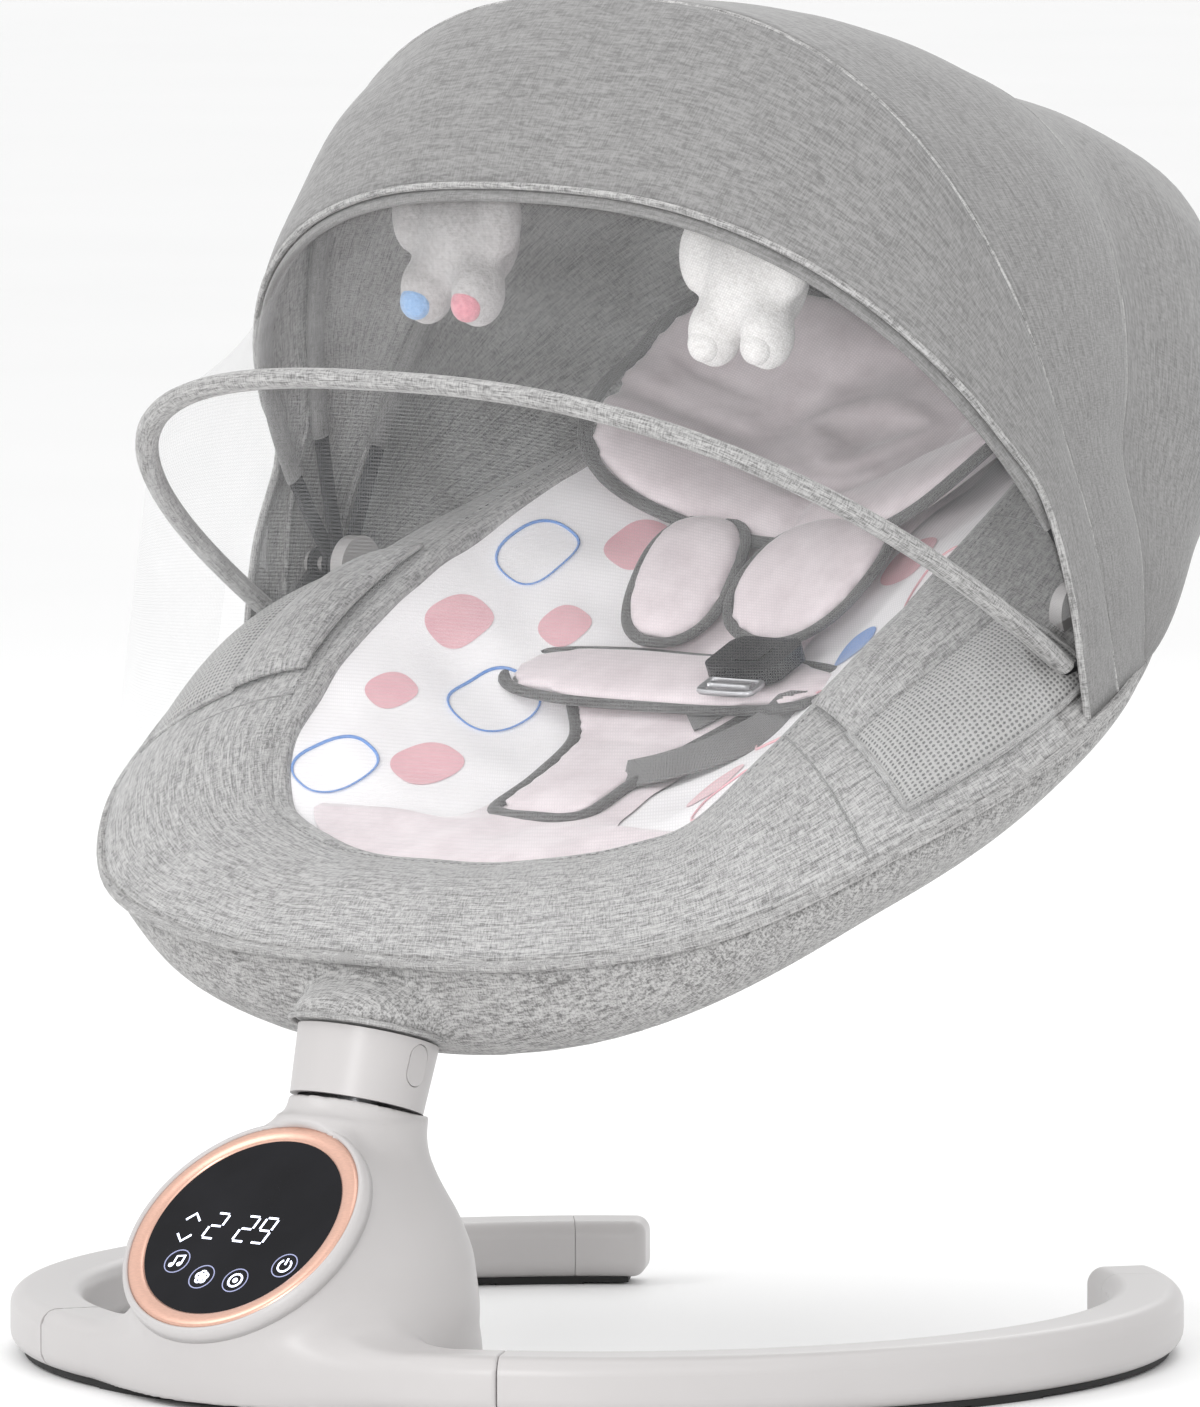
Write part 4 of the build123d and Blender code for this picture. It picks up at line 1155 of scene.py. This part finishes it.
def swell(obj, cap, pressure=4.0, pinned=None):
    """Cloth simulation of a stuffed cover: it swells, each point by at most cap millimetres."""
    before = np.array([v.co[:] for v in obj.data.vertices])
    if pinned is not None:
        group = obj.vertex_groups.new(name="sewn")
        for index, weight in enumerate(pinned(before / MM - RING_CENTRE)):
            if weight > 0.01:
                group.add([index], float(weight), "REPLACE")
    cloth = obj.modifiers.new("stuffing", "CLOTH")
    cloth.settings.use_pressure = True
    cloth.settings.uniform_pressure_force = pressure
    cloth.settings.effector_weights.gravity = 0.0
    cloth.settings.quality = 5
    if pinned is not None:
        cloth.settings.vertex_group_mass = "sewn"
    cloth.point_cache.frame_start = 1
    cloth.point_cache.frame_end = 20
    scene = bpy.context.scene
    for step in range(1, 21):
        scene.frame_set(step)
        bpy.context.evaluated_depsgraph_get().update()
    result = bpy.data.meshes.new_from_object(obj.evaluated_get(bpy.context.evaluated_depsgraph_get()))
    after = np.array([v.co[:] for v in result.vertices])
    move = after - before
    length = np.linalg.norm(move, axis=1, keepdims=True)
    move *= np.minimum(1.0, cap * MM / np.maximum(length, 1e-9))
    obj.modifiers.clear()
    obj.vertex_groups.clear()
    obj.data.vertices.foreach_set("co", (before + move).ravel())
    obj.data.update()
    scene.frame_set(1)
    bpy.data.meshes.remove(result)
    return obj


def stuffed_pad(name, outline, centre, base, thickness, material, node, cap=7.0, dimple=None,
                binding=3.4, seams=()):
    """Pad sewn round a closed outline of (x, along), lying on base(x, along), with bound edges."""
    outline = np.asarray(outline, dtype=float)
    centre = np.asarray(centre, dtype=float)
    share = np.concatenate([np.linspace(0.03, 1, 14), np.linspace(0.97, 0.03, 10)])
    rings = []
    for i, r in enumerate(share):
        flat = centre + (outline - centre) * r
        low = base(flat[:, 0], flat[:, 1])
        if i < 14:
            height = low + thickness * (0.35 + 0.65 * math.sqrt(max(1 - r ** 3.2, 0)))
            if dimple is not None:
                height = height - dimple(flat[:, 0], flat[:, 1])
        else:
            height = low + thickness * 0.30 * (1 - math.sqrt(max(1 - r ** 4, 0)))
        rings.append(seat_point(flat[:, 0], flat[:, 1], height))
    pad = capped(name, np.array(rings))
    pad = remeshed(pad, 4.5, 2)
    edge = [seat_point(outline[::2, 0], outline[::2, 1], base(*outline[::2].T) + thickness * 0.3)]
    for line in seams:
        edge.append(seat_point(line[:, 0], line[:, 1], base(*line.T) + thickness - dimple(*line.T)))
    edge = np.vstack(edge)

    def sewn(points):
        gap = np.full(len(points), 1e9)
        for place in edge:
            gap = np.minimum(gap, np.linalg.norm(points - place, axis=1))
        return np.clip(1.4 - gap / 9.0, 0, 1)

    pad = swell(pad, cap, pinned=sewn)
    pad = apply_modifiers(subdivide(pad))
    pad.data.shade_smooth()
    paint(pad, material)
    if node:
        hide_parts(node)
    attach(pad, "seat")
    if binding:
        wide = centre + (outline - centre) * 1.015
        line = seat_point(wide[:, 0], wide[:, 1], base(outline[:, 0], outline[:, 1]) + thickness * 0.30)
        tape = tube_object(f"{name}_binding", line, binding, closed=True, segments=10, flatten=0.75,
                           lift=RIM_UP)
        dress(tape, BINDING, "seat")
    return pad


def above_well(lift):
    return lambda x, along: well_height(x, along) + lift


def build_pads():
    pillow = [(0, 122), (60, 120), (108, 123), (134, 150), (142, 195), (136, 240), (104, 276),
              (50, 291), (0, 284)]
    shape = whole_outline(pillow, 110)

    turn = np.radians(np.linspace(-60, 240, 34))
    horseshoe = np.stack([56 * np.cos(turn), 205 + 48 * np.sin(turn)], axis=-1)
    lower = np.stack([np.zeros(8), np.linspace(136, 164, 8)], axis=-1)
    sides = [np.stack([s * np.linspace(62, 112, 10), np.linspace(190, 178, 10)], axis=-1) for s in (-1, 1)]

    def hollow(x, along):
        oval = np.hypot(x / 56.0, (along - 205) / 48.0)
        arc = np.where(along > 160, 1.0, np.exp(-((along - 160) / 12.0) ** 2))
        groove = 9.0 * np.exp(-((oval - 1.0) / 0.13) ** 2) * arc
        middle = 8.0 * np.exp(-(x / 5.0) ** 2) * (along < 166)
        wings = 6.0 * np.exp(-((along - 184 + 0.1 * (np.abs(x) - 87)) / 5.0) ** 2) * (np.abs(x) > 60)
        return 5.0 * np.clip(1 - oval ** 2, 0, 1) + np.maximum(np.maximum(groove, middle), wings)

    def rest(x, along):
        return 19.0 + 0.0029 * x * x + 40.0 * smoothstep((along - 200.0) / 95.0)

    stuffed_pad("head_cushion", shape, (0, 200), rest, 26.0, VELVET, "head_pillow", 9.0,
                hollow, 4.2, [horseshoe, lower] + sides)
    for side, name in ((-1, "left"), (1, "right")):
        x, along, wide, tall, turn = (-38, 84, 56, 84, 10) if side < 0 else (42, 88, 92, 82, -14)
        shape = blob(x, along, wide, tall, turn, 2.4, 64)
        stuffed_pad(f"body_wing_{name}", shape, (x, along), above_well(11.0), 17.0, VELVET,
                    "body_insert" if side > 0 else None, 6.0)
    band = [(0, -12), (55, -12), (92, -6), (106, 10), (96, 30), (52, 40), (0, 40)]
    stuffed_pad("waist_band_pad", whole_outline(band, 96), (0, 14), lambda x, a: -1.5 + 0.0003 * x * x,
                11.0, VELVET, "waist_pad", 4.0)
    crotch = [(0, -114), (20, -114), (30, -106), (31, -70), (38, -30), (58, -2), (66, 10), (56, 19), (0, 20)]
    stuffed_pad("crotch_strap_pad", whole_outline(crotch, 110), (0, -40), above_well(6.0), 8.0, VELVET,
                "crotch_pad", 4.0, None, 3.6)


def build_harness():
    """Waist belt, loop of webbing beside the crotch pad, and the buckle."""
    x = np.linspace(-98, 98, 40)
    line = seat_point(x, np.full(40, 14.0), 1.5 + 0.0003 * x * x)
    belt = strap_object("waist_belt_webbing", line, RIM_UP, 25.0, 1.8)
    paint(belt, WEBBING)
    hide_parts("waist_belt")
    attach(belt, "seat")
    loop = smooth_curve([(24, -66, -8), (44, -58, -6), (66, -42, -4), (82, -20, -2), (88, 0, 1),
                         (82, 13, 4), (66, 12, 5), (46, 0, 2), (30, -16, -2)], 60)
    points = seat_point(loop[:, 0], loop[:, 1], loop[:, 2])
    tangent = unit(np.gradient(points, axis=0))
    flat_side = np.cross(tangent, unit(0.35 * RIM_UP + RIM_ALONG))
    strap = strap_object("crotch_webbing", points, flat_side, 20.0, 1.8)
    paint(strap, WEBBING)
    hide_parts("crotch_strap")
    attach(strap, "seat")
    for node in ("buckle_body", "buckle_button"):
        paint(frame["nodes"][node], BLACK)
    bar = seat_point(np.array([44.0, 72.0]), np.array([-9.0, -9.0]), np.array([15.0, 15.0]))
    bar_tube = tube_object("buckle_adjuster_bar", np.linspace(bar[0], bar[1], 8), 2.2, segments=12)
    dress(bar_tube, STEEL, "seat")
    frame_line = blob(58, -9, 34, 14, 0, 6.0, 40)
    ring = seat_point(frame_line[:, 0], frame_line[:, 1], np.full(40, 15.0))
    dress(tube_object("buckle_adjuster_frame", ring, 1.8, closed=True, segments=8), STEEL, "seat")


def border_patch(first, last, low, high, lift, bulge, rows=20, columns=34):
    """Grid on the padded border between two shares of its length and two of its slope."""
    grid = coaming_rows(np.linspace(low, high, rows), 0.0)
    want = np.linspace(first, last, columns) * COLUMNS
    have = np.arange(COLUMNS)
    out = np.stack([np.stack([np.interp(want, have, row[:, i]) for i in range(3)], -1) for row in grid])
    u = np.linspace(0, 1, columns)[None, :]
    v = np.linspace(0, 1, rows)[:, None]
    swellings = (np.sin(math.pi * u) * np.sin(math.pi * v)) ** 0.6
    out[..., 2] += lift + bulge * swellings
    return out


def build_pockets():
    for side, first, last in ((1, 0.17, 0.25), (-1, 0.83, 0.75)):
        name = "right" if side > 0 else "left"
        grid = border_patch(first, last, 0.12, 0.62, 2.2, 9.0)
        points = seat_point(grid[..., 0], grid[..., 1], grid[..., 2])
        pocket = sheet_object(f"mesh_pocket_cloth_{name}", points, flip=side < 0, thickness=0.8)
        paint(pocket, KNIT)
        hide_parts(f"mesh_pocket_{name}")
        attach(pocket, "seat")
        border = np.vstack([points[0], points[1:, -1], points[-1, ::-1][1:], points[::-1, 0][1:-1]])
        tape = tube_object(f"pocket_binding_{name}", border, 1.9, closed=True, segments=8)
        dress(tape, HEATHER, "seat")
        cuff_grid = border_patch(first, last, 0.58, 0.97, 4.0, 9.0, 12, 34)
        cuff_points = seat_point(cuff_grid[..., 0], cuff_grid[..., 1], cuff_grid[..., 2])
        cuff = sheet_object(f"pocket_cuff_{name}", cuff_points, flip=side < 0, thickness=2.2)
        dress(cuff, HEATHER, "seat")
        declare_sheet(points)
        declare_sheet(cuff_points)


def declare_sheet(grid):
    """Size and area a cloth was cut to, worked out but not kept or returned."""
    wide = np.linalg.norm(np.diff(grid, axis=1), axis=2).sum(1).max() * MM
    tall = np.linalg.norm(np.diff(grid, axis=0), axis=2).sum(0).max() * MM
    a = grid[1:, 1:] - grid[:-1, :-1]
    b = grid[1:, :-1] - grid[:-1, 1:]
    area = 0.5 * np.linalg.norm(np.cross(a, b), axis=2).sum() * MM * MM
    area = min(max(area, 0.31 * wide * tall), wide * tall)


# --- canopy ------------------------------------------------------------------

BOW_POWER = 2.5
BOWS = {"rear": (244.0, 285.0, -20.0), "mid": (248.3, 312.0, 15.0), "front": (252.6, 259.0, 36.0)}
NET_HOOP = (262.5, 278.0, 57.4)
NET_ROOT = np.array([0.0, 59.0, 356.0])
ROOTS = {"rear": (270.0, 105.0, 361.0), "mid": (276.0, 75.0, 348.0), "front": (279.0, 48.0, 336.0)}
CLOTH_LIFT = 5.0


def bow_points(bow, degrees, lift=0.0, root=CANOPY_AXIS):
    """Points of a bow at angles from its right end, lifted outwards in its own plane."""
    half, reach, tilt = bow
    angle = np.radians(np.asarray(degrees, dtype=float))
    c, s, tilt = np.cos(angle), np.sin(angle), math.radians(tilt)
    x = (half + lift) * np.sign(c) * np.abs(c) ** (2 / BOW_POWER)
    q = (reach + lift) * np.abs(s) ** (2 / BOW_POWER)
    return np.stack([x, root[1] - q * math.sin(tilt), root[2] + q * math.cos(tilt)], axis=-1)


def seam_line(which, lift=CLOTH_LIFT, count=141):
    """Line of cloth over a bow, carried on past the pivot down to the rim on both sides."""
    root = np.array(ROOTS[which])
    over = bow_points(BOWS[which], [12, 20, 30, 42, 54, 66, 78, 90, 102, 114, 126, 138, 150, 160, 168], lift)
    near = root * 0.45 + over[0] * 0.55 + np.array([5.0, 0, 0])
    flip = np.array([-1.0, 1.0, 1.0])
    return smooth_curve(np.vstack([root, near, over, near * flip, root * flip]), count)


def head_line(count=141):
    """Line along the rim from the right root of the rear seam round the head end to the left root."""
    right = np.array([(268, 58), (262, 74), (246, 104), (208, 172), (172, 230), (134, 292), (104, 332),
                      (70, 361), (34, 380)])
    line = np.vstack([right, [(0, 390)], right[::-1] * np.array([-1, 1])])
    line = smooth_curve(line, count)
    points = rim_frame(line[:, 0] * 1.012, line[:, 1] * 1.004, np.full(count, 6.0))
    points[0] = ROOTS["rear"]
    points[-1] = np.array(ROOTS["rear"]) * np.array([-1, 1, 1])
    return points


def panel_grid(start, end, bulge, rows, skew=1.0, spread=0.7, seed=1.0):
    """Cloth between two lines of points, blown outwards between them, with faint pull marks."""
    middle = CANOPY_AXIS + np.array([0.0, 25.0, 10.0])
    along = np.linspace(0, 1, len(start))
    grid = []
    for v in np.linspace(0, 1, rows):
        line = start * (1 - v) + end * v
        out = unit(line - middle)
        lift = bulge * math.sin(math.pi * v ** skew) * np.sin(math.pi * along) ** spread
        grid.append(line + out * lift[:, None])
    grid = np.array(grid)
    v = np.linspace(0, 1, rows)[:, None]
    fade = np.sin(math.pi * v) ** 0.5
    out = unit(grid - middle)
    return grid + out * (wrinkled(grid, 60.0, 3.4, seed) * fade)[..., None]


def lined_sheet(name, grid, outer, inner, flip=False, thickness=1.4):
    sheet = sheet_object(name, grid, flip=flip, thickness=thickness)
    sheet.data.materials.clear()
    sheet.data.materials.append(outer)
    sheet.data.materials.append(inner)
    sheet.modifiers["thickness"].material_offset = 1
    sheet.modifiers["thickness"].material_offset_rim = 0
    return apply_modifiers(sheet)


def build_canopy():
    lines = {which: seam_line(which) for which in BOWS}
    back = panel_grid(lines["rear"], head_line(), 58.0, 34, 1.35, 0.8, seed=3.0)
    top = panel_grid(lines["mid"], lines["rear"], 9.0, 22, seed=5.0)
    brow = panel_grid(lines["front"], lines["mid"], 7.0, 18, seed=7.0)
    jobs = (("canopy_cloth_rear", back, "canopy_panel_rear", "seat", "canopy_rear"),
            ("canopy_cloth_mid", top, "canopy_panel_mid", "canopy_rear", "canopy_mid"),
            ("canopy_cloth_front", brow, "canopy_panel_front", "canopy_mid", "canopy_front"))
    for name, grid, node, first, second in jobs:
        panel = lined_sheet(name, grid, HEATHER, HEATHER_DARK)
        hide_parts(node)
        declare_sheet(grid)
        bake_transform(panel)
    for which, body in (("rear", "canopy_rear"), ("mid", "canopy_mid")):
        piping = tube_object(f"canopy_piping_{which}", lines[which], 1.7, segments=8)
        dress(piping, HEATHER, body)
    hem = tube_object("canopy_hem_roll", lines["front"], 2.0, segments=8)
    dress(hem, HEATHER, "canopy_front")
    row = brow[4] + unit(brow[4] - CANOPY_AXIS) * 0.5
    seam = stitches("canopy_hem_stitching", row[4:-4], unit(row[4:-4] - CANOPY_AXIS), 3.2, 1.8, 0.4)
    dress(seam, HEATHER_DARK, "canopy_front")
    for which, side, body in (("rear", top[-3], "canopy_rear"), ("mid", top[2], "canopy_mid")):
        row = side + unit(side - CANOPY_AXIS) * 0.5
        dress(stitches(f"canopy_stitching_{which}", row[6:-6], unit(row[6:-6] - CANOPY_AXIS), 3.2, 1.8, 0.35),
              HEATHER_DARK, body)
    for which, body in (("rear", "canopy_rear"), ("mid", "canopy_mid"), ("front", "canopy_front")):
        line = bow_points(BOWS[which], np.linspace(9, 171, 120))
        sleeve = tube_object(f"bow_sleeve_{which}", line, 6.4, segments=12, flatten=0.42,
                             lift=unit(line - CANOPY_AXIS))
        dress(sleeve, HEATHER_DARK, body)


def build_nets():
    hoop = bow_points(NET_HOOP, np.linspace(1, 179, 150), 0.0, NET_ROOT)
    sleeve = tube_object("net_bow_sleeve", hoop, 6.2, segments=14, flatten=0.8)
    dress(sleeve, HEATHER, "net_bow")
    hem = seam_line("front", -1.0)[8:-8]
    top = equal_steps(hem, 90)
    low = bow_points(NET_HOOP, np.linspace(3, 177, 90), 2.0, NET_ROOT)
    rows = np.linspace(0, 1, 26)
    inward = -9.0 * unit(top - CANOPY_AXIS)
    grid = np.array([low * (1 - v) + top * v + inward * math.sin(math.pi * v) for v in rows])
    upper = sheet_object("upper_net_cloth", grid)
    paint(upper, NET)
    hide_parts("net_upper")
    declare_sheet(grid)
    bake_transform(upper)
    outline = whole_outline(RIM_HALF, 400)
    right = outline[:200]
    keep = right[right[:, 1] < -20]
    front = np.vstack([keep[::-1], keep[1:] * np.array([-1, 1])])
    front = equal_steps(front, 90)
    foot = seat_point(front[:, 0], front[:, 1], np.full(90, 7.0))
    top = bow_points(NET_HOOP, np.linspace(8, 172, 90), -2.0, NET_ROOT)
    grid = np.array([foot * (1 - v) + top * v for v in np.linspace(0, 1, 22)])
    lower = sheet_object("lower_net_cloth", grid)
    paint(lower, NET_LOW)
    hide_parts("net_lower")
    declare_sheet(grid)
    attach(lower, "net_bow")
    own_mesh(lower)


# --- toys --------------------------------------------------------------------

TOY_HANG = np.array([95.16, 12.27, 661.09])


def ball(p, centre, radii):
    q = (p - np.asarray(centre, dtype=float)) / np.asarray(radii, dtype=float)
    return (np.linalg.norm(q, axis=1) - 1) * min(radii)


def plush_field(pieces, reach):
    def field(p):
        whole = None
        for centre, radii in pieces:
            part = ball(p, centre, radii)
            whole = part if whole is None else smooth_union(whole, part, reach)
        return whole
    return field


def plush_object(name, pieces, reach=7.0, step=2.6):
    centres = np.array([c for c, r in pieces], dtype=float)
    reachable = np.array([r for c, r in pieces], dtype=float)
    low = (centres - reachable).min(0) - 8
    high = (centres + reachable).max(0) + 8
    verts, faces = surface_of(plush_field(pieces, reach), low, high, step)
    return new_object(name, verts, faces)


def build_toys():
    for side, name, coat in ((1, "right", PLUSH_WHITE), (-1, "left", PLUSH_GREY)):
        hang = TOY_HANG * np.array([side, 1, 1])
        drop = 0.0 if side < 0 else -14.0

        def here(x, y, z):
            return hang + np.array([x, y, z + drop])

        pieces = [(here(0, -2, -52), (25, 23, 22)), (here(0, 0, -94), (27, 25, 31)),
                  (here(-15, -2, -28), (8, 6, 15)), (here(15, -2, -28), (8, 6, 15)),
                  (here(-29, -10, -84), (11, 11, 20)), (here(29, -10, -84), (11, 11, 20)),
                  (here(-17, -13, -122), (13, 15, 18)), (here(17, -13, -122), (13, 15, 18)),
                  (here(0, -20, -57), (10, 8, 8))]
        toy = plush_object(f"plush_toy_{name}", pieces)
        paint(toy, coat)
        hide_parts(f"toy_{name}")
        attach(toy, f"toy_{name}")
        for number, x in enumerate((-17, 17)):
            ink = PLUSH_BLUE if (side < 0 and x < 0) else PLUSH_PINK
            if side > 0:
                ink = PLUSH_WHITE
            pad = plush_object(f"toy_foot_{name}_{number}", [(here(x, -22, -128), (9, 7.5, 9.5))], 1.0, 2.0)
            dress(pad, ink, f"toy_{name}")
        for number, x in enumerate((-8, 8)):
            eye = plush_object(f"toy_eye_{name}_{number}", [(here(x, -22.5, -49), (2.2, 1.6, 2.4))], 0.5, 0.9)
            dress(eye, BLACK, f"toy_{name}")
        nose = plush_object(f"toy_nose_{name}", [(here(0, -27.5, -55), (3.4, 2.2, 2.4))], 0.5, 1.1)
        dress(nose, PLUSH_PINK, f"toy_{name}")
        line = smooth_curve([here(-2, 0, -34), hang + (-1.5, 0, -8), hang + (0, 0, 3), hang + (1.5, 0, -8),
                             here(2, 0, -34)], 30)
        cord = tube_object(f"toy_loop_{name}", line, 1.3, segments=8)
        dress(cord, HEATHER_DARK, f"toy_{name}")


build_camera()
build_stage()
build_base()
build_shell()
build_coaming()
build_liner()
build_pads()
build_harness()
build_pockets()
build_canopy()
build_nets()
build_toys()
